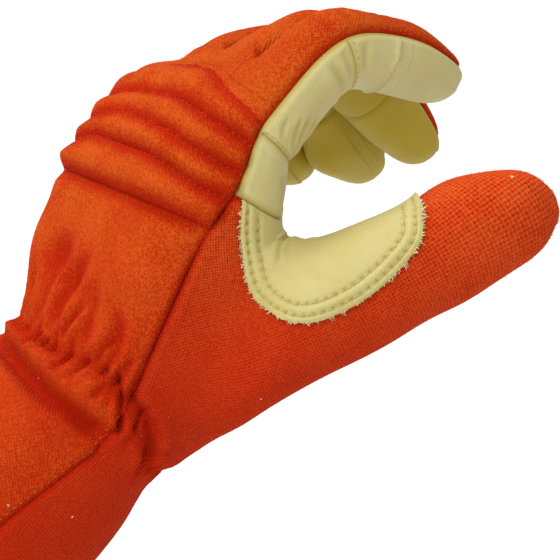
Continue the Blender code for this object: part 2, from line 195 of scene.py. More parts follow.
THUMB_RINGS = [
    ThumbRing(60.8, -24, 21.8, 30.6, 20.0, 21.7),
    ThumbRing(76.0, -29, 28.5, 24.6, 18.5, 12.7),
    ThumbRing(92.8, -32, 37.0, 19.4, 17.0, -9.2),
    ThumbRing(111.6, -33, 47.2, 17.2, 16.0, -20.6),
    ThumbRing(123.5, -33, 53.1, 16.8, 15.5, -22.8),
    ThumbRing(134.3, -32, 57.6, 15.0, 14.0, -23.0),
    ThumbRing(142.7, -31, 59.9, 11.4, 10.5, -19.4),
    ThumbRing(148.6, -30, 61.2, 6.0, 5.5, -19.4),
]
THUMB_TIP = (151.0, -30, 61.8)
THUMB_SIDES = 10
THUMB_FIRST_ANGLE = 90.0
THUMB_LEATHER_SIDES = (6, 7, 8)

# Outline of the thumb patch seen from the thumb side: X and Z. The last three points stand above the web
PATCH_OUTLINE = [
    (52.7, 60), (52.9, 46), (57.0, 32), (70.5, 25), (88.0, 31),
    (103.0, 44.5), (107.2, 55), (103.0, 70), (78.0, 78), (56.0, 74),
]


class Cloth(Enum):
    """What a panel is made of, by the record's slot."""

    BACK_KNIT = "knit_back"
    SIDE_KNIT = "knit_side"
    LEATHER = "leather_yellow"


PANEL_CLOTH = {
    "cuff_hem": Cloth.BACK_KNIT,
    "back_panel": Cloth.BACK_KNIT,
    "knuckle_pad": Cloth.BACK_KNIT,
    "finger_backs": Cloth.BACK_KNIT,
    "thumb_shell": Cloth.SIDE_KNIT,
    "thumb_front": Cloth.LEATHER,
    "cuff_front": Cloth.SIDE_KNIT,
    "palm_leather": Cloth.LEATHER,
} | {f"{finger.name}_{part}": Cloth.LEATHER for finger in FINGER_TABLE for part in ("base", "middle", "tip")}
PANELS = list(PANEL_CLOTH)
UNMARKED_SEAMS = (("knuckle_pad", "finger_backs"), ("index_middle", "index_tip"))


class Stroke(NamedTuple):
    """A line pressed into the surface, or raised from it where the depth is below nought, in millimetres."""

    path: ChartPath
    depth: float
    width: float
    shoulder: float = 0.35
    fade: float = 0.25


class Dent(NamedTuple):
    """A soft hollow, or a swelling where the depth is below nought: its chart place, depth and radius."""

    column: float
    row: float
    depth: float
    radius: float


class Stitch(NamedTuple):
    """One kind of stitch, in millimetres: the pitch of its row, its length and its width."""

    pitch: float
    length: float
    width: float


class SeamGroove(NamedTuple):
    """How a kind of seam draws the surface in: its depth, its width and how dark the shade painted in it is."""

    depth: float
    width: float
    shade: float


CLOTH_SEAM = SeamGroove(1.0, 1.2, 0.75)
LEATHER_SEAM = SeamGroove(0.5, 0.9, 0.5)
PAD_SEAM = SeamGroove(0.6, 1.7, 0.5)
SEAM_REACH = 5.0
SEAM_SHOULDER = 0.25

PATCH_STITCH = Stitch(3.1, 1.9, 0.5)
RIB_STITCH = Stitch(2.4, 0.9, 0.3)
FINGER_STITCH = Stitch(2.4, 1.4, 0.5)
WELT_STITCH = Stitch(1.15, 1.2, 0.7)
CUFF_STITCH = Stitch(2.6, 1.1, 0.4)


# Valleys between the padded ribs, from the thumb's side over the back
RIB_VALLEYS: tuple[ChartPath, ...] = (
    ((0.95, 8.0), (2.4, 8.0), (4.7, 8.0), (6.1, 8.0), (9.05, 8.0)),
    ((0.95, 8.79), (1.9, 8.8), (2.95, 9.0), (4.15, 9.15), (6.6, 9.12), (8.16, 8.8), (9.05, 8.75)),
    ((0.95, 9.54), (1.71, 9.57), (2.55, 9.7), (3.82, 9.88), (5.62, 9.97), (7.59, 9.6), (9.05, 9.5)),
    ((0.95, 10.44), (2.74, 10.6), (4.6, 10.66), (7.0, 10.45), (9.05, 10.3)),
    ((0.95, 11.3), (1.75, 11.48), (2.98, 11.7), (4.72, 11.82), (5.84, 11.78), (7.5, 11.6), (9.05, 11.4)),
)
INNER_VALLEYS = RIB_VALLEYS[1:-1]

# Height of the ribs with its share by column, the reach and the parts of their round side, and their ends
RIB_HEIGHT = 3.9
RIB_HEIGHTS: ChartPath = ((1.0, 1.0), (3.5, 1.0), (5.5, 0.72), (7.0, 0.62), (9.0, 0.7))
RIB_ROUND = 7.2
RIB_SOFT_PART = 0.55
RIB_ROUND_PART = 0.45
RIB_END = 3.0
# Strength and width of the shade painted in the valleys between the ribs
RIB_SHADE = 0.85
RIB_SHADE_WIDTH = 2.6

ELASTIC: ChartPath = (
    (19.22, 3.75), (20.59, 4.21), (21.18, 4.55), (22.0, 4.8), (23.1, 4.79), (23.8, 4.71), (25.12, 4.71),
    (27.06, 4.68), (29.0, 4.7), (30.5, 4.6), (33.0, 4.4), (36.0, 4.1), (38.0, 3.85), (39.2, 3.75),
)

CUFF_FOLD: ChartPath = (
    (8.6, 3.6), (7.0, 3.69), (5.12, 3.76), (3.44, 3.76), (2.44, 3.78), (1.81, 3.82), (0.9, 3.87),
)

FOLDS: tuple[Stroke, ...] = (
    Stroke(ELASTIC, 1.3, 2.6, 0.3, 0.02),
    Stroke(CUFF_FOLD, 4.2, 2.9, 0.6, 0.08),
    Stroke(
        ((1.2, 4.75), (0.69, 4.5), (0.31, 4.38), (0.0, 4.19), (-0.38, 3.88), (-0.4, 3.5)), 3.4, 2.2, 0.5, 0.25
    ),
    Stroke(((1.75, 4.94), (1.31, 4.69), (1.12, 4.38), (0.94, 4.12), (0.8, 3.95)), 2.6, 1.0, 0.5, 0.15),
    Stroke(((1.02, 7.8), (1.02, 6.6), (1.02, 5.6), (1.05, 4.9), (0.95, 4.4), (1.0, 3.6)), 1.1, 1.3, 0.3, 0.2),
    Stroke(((6.4, 6.5), (6.0, 5.9), (5.9, 5.3), (6.05, 4.75)), 1.7, 3.0, 0.5, 0.4),
    Stroke(((4.3, 6.9), (4.7, 6.3), (5.05, 5.7), (4.95, 5.1), (5.2, 4.75)), 2.2, 3.4, 0.5, 0.4),
    Stroke(((3.7, 5.9), (4.1, 5.45), (4.2, 5.05), (4.1, 4.75)), 1.8, 1.7, 0.5, 0.35),
    Stroke(((3.9, 6.4), (3.5, 5.9), (3.4, 5.4), (3.1, 5.0), (2.95, 4.8)), 1.6, 2.4, 0.5, 0.4),
    Stroke(((2.1, 5.6), (2.5, 5.2), (2.45, 4.75)), 2.0, 1.5, 0.5, 0.35),
    Stroke(((2.7, 6.1), (2.2, 5.6), (1.9, 5.2), (1.75, 4.75)), 1.5, 2.0, 0.5, 0.4),
    Stroke(((1.3, 5.4), (1.45, 5.0), (1.35, 4.7)), 1.6, 1.4, 0.5, 0.35),
    Stroke(((7.4, 6.1), (7.1, 5.4), (7.2, 4.75)), 1.6, 2.8, 0.5, 0.4),
    Stroke(((5.6, 4.7), (5.3, 4.35), (5.5, 4.1)), 1.3, 1.8, 0.5, 0.3),
    Stroke(((3.6, 4.7), (3.35, 4.4), (3.5, 4.2)), 1.2, 1.5, 0.5, 0.3),
    Stroke(((1.9, 4.8), (1.75, 4.45), (2.0, 4.2)), 1.4, 1.4, 0.5, 0.3),
    Stroke(((0.9, 7.94), (3.0, 7.94), (6.0, 7.94), (9.0, 7.94)), 1.3, 2.6, 0.25, 0.1),
    Stroke(((3.0, 11.5), (3.0, 12.2), (3.0, 12.95)), -1.8, 4.0, 0.0, 0.3),
    Stroke(((5.0, 11.5), (5.0, 12.2), (5.0, 12.95)), -1.8, 4.0, 0.0, 0.3),
)

LEATHER_FOLDS: tuple[Stroke, ...] = (
    Stroke(((-1.3, 11.1), (-0.7, 11.5), (-0.25, 12.1), (-0.1, 12.8)), 0.8, 0.9, 0.5),
    Stroke(((-0.9, 11.1), (-0.35, 11.45), (0.0, 11.95), (0.15, 12.5)), 0.6, 0.8, 0.5),
    Stroke(((-1.7, 11.3), (-1.1, 11.8), (-0.6, 12.4), (-0.45, 13.0)), 0.8, 1.1, 0.5),
    Stroke(((0.2, 11.3), (0.45, 11.6), (0.5, 12.1)), 0.4, 0.8, 0.5),
    Stroke(((38.8, 21.2), (38.1, 21.3), (37.5, 21.35), (36.6, 21.3)), 0.7, 1.5, 0.4),
    Stroke(((38.8, 21.7), (38.2, 21.75), (37.4, 21.7)), 0.6, 1.2, 0.4),
    Stroke(((38.8, 22.5), (38.2, 22.45), (37.6, 22.4)), 0.5, 1.4, 0.4),
    Stroke(((38.95, 23.6), (38.1, 23.55), (37.5, 23.5), (36.0, 23.5)), -0.8, 0.9, 0.0, 0.1),
    Stroke(((19.6, 10.2), (19.2, 9.8), (19.0, 9.2)), 0.7, 2.0, 0.4),
    Stroke(((18.4, 9.6), (17.0, 9.3), (15.0, 9.4), (12.6, 9.7)), 1.4, 3.2, 0.4),
    Stroke(((18.0, 10.9), (16.0, 10.8), (14.0, 10.7), (12.0, 10.8)), 1.3, 3.0, 0.4),
    Stroke(((17.6, 8.6), (16.0, 7.4), (15.2, 6.2), (15.0, 5.4)), 1.4, 3.6, 0.4),
)

KNUCKLE_FOLDS: tuple[Stroke, ...] = (
    Stroke(((31.1, 21.85), (31.6, 21.8), (32.1, 21.83), (32.6, 21.8)), 0.8, 1.3, 0.4),
    Stroke(((31.2, 22.35), (31.8, 22.4), (32.4, 22.4)), 0.6, 1.2, 0.4),
    Stroke(((31.2, 23.5), (31.9, 23.55), (32.7, 23.5)), 0.6, 1.2, 0.4),
)

DENTS: tuple[Dent, ...] = (
    Dent(6.0, 6.4, 3.8, 7.0),
    Dent(5.1, 6.05, 2.0, 5.0),
    Dent(4.0, 5.95, 1.6, 5.0),
    Dent(2.9, 7.0, -1.2, 14.0),
    Dent(4.6, 7.4, -1.0, 9.0),
    Dent(2.7, 6.3, -1.0, 7.0),
    Dent(41.3, 20.3, -2.2, 7.0),
    Dent(41.3, 20.9, -1.4, 6.0),
    Dent(33.3, 20.4, -1.8, 7.0),
    Dent(51.3, 20.4, -2.0, 7.0),
    Dent(43.3, 20.4, -1.6, 7.0),
    Dent(14.0, 8.0, 2.2, 16.0),
    Dent(16.5, 6.6, -1.4, 12.0),
)

# How far the stuffed cloth swells past the plain sections, or falls short of them, round its outline:
# chart column, chart row and depth of each
SWELL_RADIUS = 11.4
SWELL_PLACES = (
    (18.44, 3.62, 2.5), (18.56, 4.25, -2.1), (7.69, 5.12, 1.4), (8.06, 5.94, -0.7), (8.25, 6.62, -1.7),
    (8.38, 8, -1.1), (8.5, 9.94, 2.6), (7, 11.19, -2.1), (8.31, 12.25, -2.8), (52.44, 20.5, -0.5),
    (62.38, 20.94, 3.6), (42.38, 21.44, 0.4), (52.19, 21.62, 1.5), (62.12, 21.88, -1.1), (32.31, 22.06, -1),
    (42, 22.19, -1.3), (32.06, 23.56, 1.4), (31.88, 24.69, 0.5), (41.19, 25.25, -0.9), (55.44, 25.38, -3),
    (31.69, 25.81, 1.6), (45.94, 26.31, 1.8), (36.88, 26.5, -0.5), (40.19, 27, -2.7), (57.56, 27.19, -1),
    (45.06, 40.88, -1.9), (40, 41.19, 1.3), (44.94, 41.5, -0.7), (44.88, 42, -0.4), (44.94, 42.69, -0.7),
    (50, 42.75, 0.9), (44.69, 43.19, -0.9), (50, 43.69, 1.6), (44.88, 44.25, -1.5), (40.06, 44.81, -1.1),
    (44.88, 45.12, -0.4), (44.81, 46.81, -1), (40.25, 47.38, -2), (43.19, 48.75, 0.7),
)
SWELLS: tuple[Dent, ...] = tuple(Dent(*place, SWELL_RADIUS) for place in SWELL_PLACES) + (
    Dent(60.25, 26.1, -3.6, 9.0),
    Dent(55.5, 25.2, -2.4, 8.0),
)

# Rows of stitches at the finger seams, the raised welt near the index's tip, and the seams of the cuff
FINGER_SEAMS: tuple[ChartPath, ...] = (
    ((33.05, 22.12), (38.0, 22.12), (38.95, 22.12)),
    ((17.1, 11.1), (18.0, 11.1), (19.0, 11.1), (20.0, 11.1), (20.95, 11.1)),
)
WELTS: tuple[ChartPath, ...] = (
    ((38.9, 23.6), (38.1, 23.55), (37.5, 23.5), (36.0, 23.5)),
)
CUFF_SEAMS: tuple[ChartPath, ...] = (
    ((1.12, 4.3), (1.12, 3.6), (1.12, 2.0), (1.12, 1.1)),
    ((0.0, 1.12), (10.0, 1.12), (20.0, 1.12)),
)


def smooth_step(x: float) -> float:
    """A smooth rise from 0 to 1."""
    x = min(max(x, 0.0), 1.0)
    return x * x * (3 - 2 * x)


def soft(values: np.ndarray) -> np.ndarray:
    """The smooth rise from 0 to 1 for many values at once."""
    values = np.clip(values, 0, 1)
    return values * values * (3 - 2 * values)


class Hand:
    """Directions along the arm, across it to the little finger and out of its back."""

    @staticmethod
    def axes(rise_degrees: float) -> tuple[Vector, Vector, Vector]:
        """The three directions where the arm rises by this angle.

        Args:
            rise_degrees: angle of the arm above the floor.

        Returns:
            The directions along, across and out of the back.
        """
        rise, turn = math.radians(rise_degrees), math.radians(PALM_TURN)
        along = Vector((math.cos(rise), 0, math.sin(rise)))
        back_in_view = Vector((-math.sin(rise), 0, math.cos(rise)))
        away = Vector((0, 1, 0))
        across = math.cos(turn) * away + math.sin(turn) * back_in_view
        back = math.cos(turn) * back_in_view - math.sin(turn) * away
        return along, across, back

    @staticmethod
    def point(along: float, across: float, back: float) -> Vector:
        """A point given in the hand's own millimetres."""
        return (ALONG * along + ACROSS * across + BACK * back) * MM


ALONG, ACROSS, BACK = Hand.axes(HAND_RISE)


class FingerLine:
    """The bent centreline of one finger, with the directions across it and out of its back."""

    def __init__(self, finger: Finger) -> None:
        """Takes the finger's directions from its splay."""
        self.finger = finger
        splay = math.radians(finger.splay)
        self.ahead = ALONG * math.cos(splay) + ACROSS * math.sin(splay)
        self.across = ACROSS * math.cos(splay) - ALONG * math.sin(splay)
        self.joints = [0.0, finger.bones[0], finger.bones[0] + finger.bones[1]]
        self.length = sum(finger.bones)

    def flex(self, run: float) -> float:
        """How far the finger has curled at this distance from its knuckle, in radians."""
        joints = zip(self.joints, self.finger.bends, BEND_LENGTHS)
        return math.radians(sum(bend * smooth_step((run - at) / span + 0.5) for at, bend, span in joints))

    def frame(self, run: float) -> tuple[Vector, Vector, Vector]:
        """Where the finger is and how it is turned.

        Args:
            run: distance from the knuckle in millimetres.

        Returns:
            Centre, direction across and direction out of the back.
        """
        point = Hand.point(*self.finger.knuckle)
        steps = max(1, round(run / CENTRELINE_STEP))
        for i in range(steps):
            curl = self.flex((i + 0.5) * run / steps)
            point += (self.ahead * math.cos(curl) - BACK * math.sin(curl)) * (run / steps * MM)
        curl = self.flex(run)
        return point, self.across, BACK * math.cos(curl) + self.ahead * math.sin(curl)

    def ring(self, run: float, width_share: float = 1.0, depth_share: float = 1.0) -> list[Vector]:
        """The eight corners of a section, from the thumb side over the back.

        Args:
            run: distance from the knuckle in millimetres.
            width_share: share of the finger's width.
            depth_share: share of the finger's depth.

        Returns:
            The corners in order.
        """
        centre, across, out = self.frame(run)
        half_width = self.finger.half_width * width_share / LIMIT_SHRINK * MM
        half_depth = self.finger.half_depth * depth_share / LIMIT_SHRINK * MM
        corners = []
        for elevation, side in zip(CORNER_ELEVATIONS, CORNER_SIDES):
            lift = math.radians(elevation)
            spread = across * side * math.cos(lift) * half_width
            corners.append(centre + spread + out * math.sin(lift) * half_depth)
        return corners


class Cage:
    """The coarse outer surface of the whole glove, each face numbered with its panel and its chart place."""

    def __init__(self) -> None:
        """Starts an empty surface and the four fingers' centrelines."""
        self.bm = bmesh.new()
        self.lines = [FingerLine(finger) for finger in FINGER_TABLE]

    def build(self) -> bmesh.types.BMesh:
        """Builds the cuff, hand, fingers and thumb as one open surface."""
        rings = self._add_body()
        self._add_fingers(rings[-1])
        self._add_thumb(rings)
        bmesh.ops.recalc_face_normals(self.bm, faces=self.bm.faces)
        return self._in_order()

    def _in_order(self) -> bmesh.types.BMesh:
        """The same surface with its edges and faces in a fixed order, which extruding doesn't give them."""
        self.bm.verts.index_update()
        chart = self.bm.loops.layers.uv["chart"]
        faces = []
        for face in self.bm.faces:
            corners = [(loop.vert.index, loop[chart].uv.to_tuple()) for loop in face.loops]
            first = corners.index(min(corners))
            faces.append((corners[first:] + corners[:first], face.material_index))
        ordered = bmesh.new()
        chart = ordered.loops.layers.uv.new("chart")
        vertices = [ordered.verts.new(vertex.co) for vertex in self.bm.verts]
        for corners, panel in sorted(faces):
            face = ordered.faces.new([vertices[number] for number, _ in corners])
            face.material_index = panel
            for loop, (_, place) in zip(face.loops, corners):
                loop[chart].uv = place
        self.bm.free()
        return ordered

    def _extrude(self, ring: list, places: list[Vector], panels: list[str], first: float, row: int) -> list:
        """Extrudes a closed loop of vertices to new places, and charts each new face.

        Args:
            ring: the loop of vertices.
            places: where the new loop's vertices go.
            panels: the panel of each new face.
            first: the chart column of the first vertex.
            row: the chart row of the loop.

        Returns:
            The new loop.
        """
        count = len(ring)
        bm = self.bm
        edges = [bm.edges.get(pair) or bm.edges.new(pair) for pair in zip(ring, ring[1:] + ring[:1])]
        made = bmesh.ops.extrude_edge_only(bm, edges=edges)["geom"]
        at = {v.co.to_tuple(8): v for v in made if isinstance(v, bmesh.types.BMVert)}
        following = [at[v.co.to_tuple(8)] for v in ring]
        chart = bm.loops.layers.uv.get("chart") or bm.loops.layers.uv.new("chart")
        for i, vertex in enumerate(ring):
            sides = {vertex, ring[(i + 1) % count], following[i], following[(i + 1) % count]}
            face = next(f for f in following[i].link_faces if set(f.verts) == sides)
            face.material_index = PANELS.index(panels[i])
            for loop in face.loops:
                column = i if loop.vert in (vertex, following[i]) else i + 1
                loop[chart].uv = (first + column, row + (loop.vert in following))
        for vertex, place in zip(following, places):
            vertex.co = place
        return following

    def _close_tip(self, ring: list, place: Vector, panels: list[str], first: float, row: int) -> None:
        """Closes a loop with a fan of faces to one vertex."""
        following = self._extrude(ring, [place] * len(ring), panels, first, row)
        bmesh.ops.pointmerge(self.bm, verts=following, merge_co=place)

    @staticmethod
    def _point_shares(side_seam: float) -> list[tuple[float, float]]:
        """Each column's shares of the half width and half depth, once round a body ring."""
        over_back, under_palm = [], []
        for share in [side_seam] + SHARES_ACROSS:
            over_back.append((share, (1 - abs(share) ** ROUNDNESS) ** (1 / ROUNDNESS)))
        for share in [UNDER_THUMB_SHARE] + SHARES_ACROSS:
            under_palm.insert(0, (share, -((1 - abs(share) ** ROUNDNESS) ** (1 / ROUNDNESS))))
        return [(-1, 0)] + over_back + [(1, 0)] + under_palm

    def _body_ring(self, level: int) -> list[Vector]:
        """The twenty corners of one ring of the cuff or hand."""
        ring = BODY_RINGS[level]
        bend = min(max((ring.along + 8) / 16, 0), 1)
        _, across, back = Hand.axes(FOREARM_RISE + (HAND_RISE - FOREARM_RISE) * bend)
        line = Hand.axes(HAND_RISE if ring.along > 0 else FOREARM_RISE)[0]
        centre = line * ring.along - across * ring.toward_thumb + back * ring.toward_back
        corners = []
        for column, (share, depth) in enumerate(self._point_shares(ring.side_seam)):
            if (level, column) in WEB_PLACES:
                corners.append(Hand.point(*WEB_PLACES[level, column]))
            else:
                reach = across * share * ring.half_width + back * depth * ring.half_depth
                corners.append((centre + reach) * MM)
        return corners

    def _knuckle_ring(self, share: float, web_lift: float) -> list[Vector]:
        """The four finger sections past the knuckles with their neighbouring corners made one."""
        rings = [line.ring(share * line.finger.bones[0]) for line in self.lines]
        middle = [(rings[i][3] + rings[i + 1][1]) / 2 + BACK * web_lift * MM for i in range(FINGERS - 1)]
        under = [(rings[i][5] + rings[i + 1][7]) / 2 for i in range(FINGERS - 1)]
        corners = [rings[0][0], rings[0][1]]
        for i in range(FINGERS):
            corners.append(rings[i][2])
            if i < FINGERS - 1:
                corners.append(middle[i])
        corners += [rings[3][3], rings[3][4], rings[3][5]]
        for i in reversed(range(FINGERS)):
            corners.append(rings[i][6])
            if i > 0:
                corners.append(under[i - 1])
        return corners + [rings[0][7]]

    @staticmethod
    def _body_panels(level: int) -> list[str]:
        """The panel of each column between this ring and the next."""
        panels = []
        for column in range(COLUMNS):
            if level < HEM_LEVEL:
                panels.append("cuff_hem")
            elif BACK_FIRST <= column < BACK_LAST:
                over = "back_panel" if level < PAD_LEVEL else "knuckle_pad"
                panels.append(over if level < PAD_TOP_LEVEL else "finger_backs")
            elif column in (0, COLUMNS - 1) and level < GUSSET_LEVEL:
                panels.append("thumb_shell")
            elif column == PALM_SIDE_COLUMN and level < PALM_LEVEL:
                panels.append("thumb_shell")
            elif column in (0, PALM_SIDE_COLUMN, COLUMNS - 1) and level >= INDEX_SEAM_LEVEL:
                panels.append("index_base")
            else:
                panels.append("cuff_front" if level < PALM_LEVEL else "palm_leather")
        return panels

    def _add_body(self) -> list[list]:
        """The cuff and the hand as one tube of rings, up to the crotches of the fingers."""
        places = [self._body_ring(level) for level in range(len(BODY_RINGS))]
        places += [self._knuckle_ring(share, lift) for share, lift in zip(KNUCKLE_RUNS, WEB_LIFTS)]
        rings = [[self.bm.verts.new(place) for place in places[0]]]
        for level in range(1, len(places)):
            panels = self._body_panels(level - 1)
            rings.append(self._extrude(rings[-1], places[level], panels, 0, level - 1))
        return rings

    def _add_fingers(self, last_ring: list) -> None:
        """Each finger from the crotch ring to its tip."""
        webs = [(last_ring[1 + 2 * i].co + last_ring[19 - 2 * i].co) / 2 for i in range(1, FINGERS)]
        webs = [self.bm.verts.new(place) for place in webs]
        for i, line in enumerate(self.lines):
            over = last_ring[1 + 2 * i : 4 + 2 * i]
            under = last_ring[17 - 2 * i : 20 - 2 * i]
            near = last_ring[0] if i == 0 else webs[i - 1]
            far = last_ring[COLUMNS // 2] if i == FINGERS - 1 else webs[i]
            ring = [near] + over + [far] + under
            first = FINGER_COLUMNS + SPAN * i
            for j, section in enumerate(FINGER_RINGS):
                start = line.joints[section.bone]
                run = start + section.share * line.finger.bones[section.bone] + section.offset
                part = "base" if j <= MIDDLE_SEAM_RING else "middle" if j <= TIP_SEAM_RING else "tip"
                places = line.ring(run, section.width_share, section.depth_share)
                ring = self._extrude(ring, places, self._finger_panels(line, part), first, FINGER_ROW + j)
            tip = line.frame(line.length)[0]
            panels = self._finger_panels(line, "tip")
            self._close_tip(ring, tip, panels, first, FINGER_ROW + len(FINGER_RINGS))

    @staticmethod
    def _finger_panels(line: FingerLine, part: str) -> list[str]:
        """Knit over the back of the finger and leather round the rest of it."""
        leather = f"{line.finger.name}_{part}"
        return [leather, "finger_backs", "finger_backs"] + [leather] * (FINGER_SIDES - 3)

    @staticmethod
    def _thumb_places(section: ThumbRing) -> list[Vector]:
        """The ten corners of a section of the thumb, from its top round the side that shows."""
        lean = math.radians(section.lean)
        up = Vector((math.sin(lean), 0, math.cos(lean))) * section.half_up / THUMB_SHRINK * MM
        side = Vector((0, -1, 0)) * section.half_side / THUMB_SHRINK * MM
        centre = Vector((section.x, section.y, section.z)) * MM
        step = 360 / THUMB_SIDES
        angles = [math.radians(THUMB_FIRST_ANGLE - step * i) for i in range(THUMB_SIDES)]
        return [centre + up * math.sin(angle) + side * math.cos(angle) for angle in angles]

    def _add_thumb(self, rings: list[list]) -> None:
        """Opens the thumb side of the hand and grows the thumb from the opening."""
        low, *middle, high = THUMB_LEVELS
        bmesh.ops.delete(self.bm, geom=[rings[level][COLUMNS - 1] for level in middle], context="VERTS")
        loop = [rings[high][COLUMNS - 1]] + [rings[level][0] for level in reversed(THUMB_LEVELS)]
        loop += [rings[low][COLUMNS - 1]] + [rings[level][PALM_SIDE_COLUMN] for level in THUMB_LEVELS]
        panels = ["thumb_shell"] * THUMB_SIDES
        for side in THUMB_LEATHER_SIDES:
            panels[side] = "thumb_front"
        for i, section in enumerate(THUMB_RINGS):
            loop = self._extrude(loop, self._thumb_places(section), panels, THUMB_ROW, THUMB_ROW + i)
        self._close_tip(loop, Vector(THUMB_TIP) * MM, panels, THUMB_ROW, THUMB_ROW + len(THUMB_RINGS))


class Weave:
    """Lays every panel flat in a second chart, in metres, so that its knit runs true along it."""

    def __init__(self, mesh: bpy.types.Mesh) -> None:
        """Takes the mesh whose panels are laid flat."""
        self.mesh = mesh

    def lay_flat(self) -> None:
        """Marks the seams, unwraps, and brings each panel to its real size with its grain upright."""
        mesh = self.mesh
        mesh.uv_layers.new(name="weave")
        mesh.uv_layers.active = mesh.uv_layers["weave"]
        self._mark_seams()
        guide = bpy.data.objects.new("guide", mesh)
        bpy.context.scene.collection.objects.link(guide)
        bpy.context.view_layer.objects.active = guide
        guide.select_set(True)
        bpy.ops.object.mode_set(mode="EDIT")
        bpy.ops.mesh.select_all(action="SELECT")
        bpy.ops.uv.unwrap(method="ANGLE_BASED", margin=0.002)
        bpy.ops.object.mode_set(mode="OBJECT")
        bpy.data.objects.remove(guide)
        for index in range(len(PANELS)):
            self._straighten(index)

    def _mark_seams(self) -> None:
        """Cuts the flat layout where two panels meet and down the inside of the cuff's hem."""
        bm = bmesh.new()
        bm.from_mesh(self.mesh)
        chart = bm.loops.layers.uv["chart"]
        hem_column = COLUMNS * 0.7
        for edge in bm.edges:
            panels = {face.material_index for face in edge.link_faces}
            corners = [loop for face in edge.link_faces for loop in face.loops if loop.vert in edge.verts]
            columns = [loop[chart].uv.x for loop in corners]
            on_hem = PANELS.index("cuff_hem") in panels and all(abs(c - hem_column) < 0.01 for c in columns)
            edge.seam = len(panels) > 1 or on_hem
        bm.to_mesh(self.mesh)
        bm.free()

    def _straighten(self, index: int) -> None:
        """Scales one panel's layout to metres and turns its grain upright.

        Args:
            index: the panel's number.
        """
        mesh = self.mesh
        flat = mesh.uv_layers["weave"].uv
        grain = self._grain(PANELS[index])
        faces = [polygon for polygon in mesh.polygons if polygon.material_index == index]
        steps, flat_area = Vector((0, 0)), 0.0
        for face in faces:
            loops = list(face.loop_indices)
            for here, ahead in zip(loops, loops[1:] + loops[:1]):
                start, end = flat[here].vector, flat[ahead].vector
                flat_area += (start.x * end.y - end.x * start.y) / 2
                first, second = (mesh.vertices[mesh.loops[loop].vertex_index] for loop in (here, ahead))
                steps += (end - start) * (second.co - first.co).dot(grain)
        scale = math.sqrt(sum(face.area for face in faces) / max(abs(flat_area), 1e-9))
        turn = Matrix.Rotation(math.pi / 2 - math.atan2(steps.y, steps.x), 2)
        for face in faces:
            for loop in face.loop_indices:
                flat[loop].vector = turn @ flat[loop].vector * scale

    @staticmethod
    def _grain(panel: str) -> Vector:
        """The direction in the glove's frame that a panel's grain follows."""
        if panel.startswith("thumb"):
            return (Vector(THUMB_TIP) - Vector(THUMB_RINGS[0][:3])).normalized()
        if panel in ("cuff_hem", "cuff_front"):
            return Hand.axes(FOREARM_RISE)[0]
        return ALONG


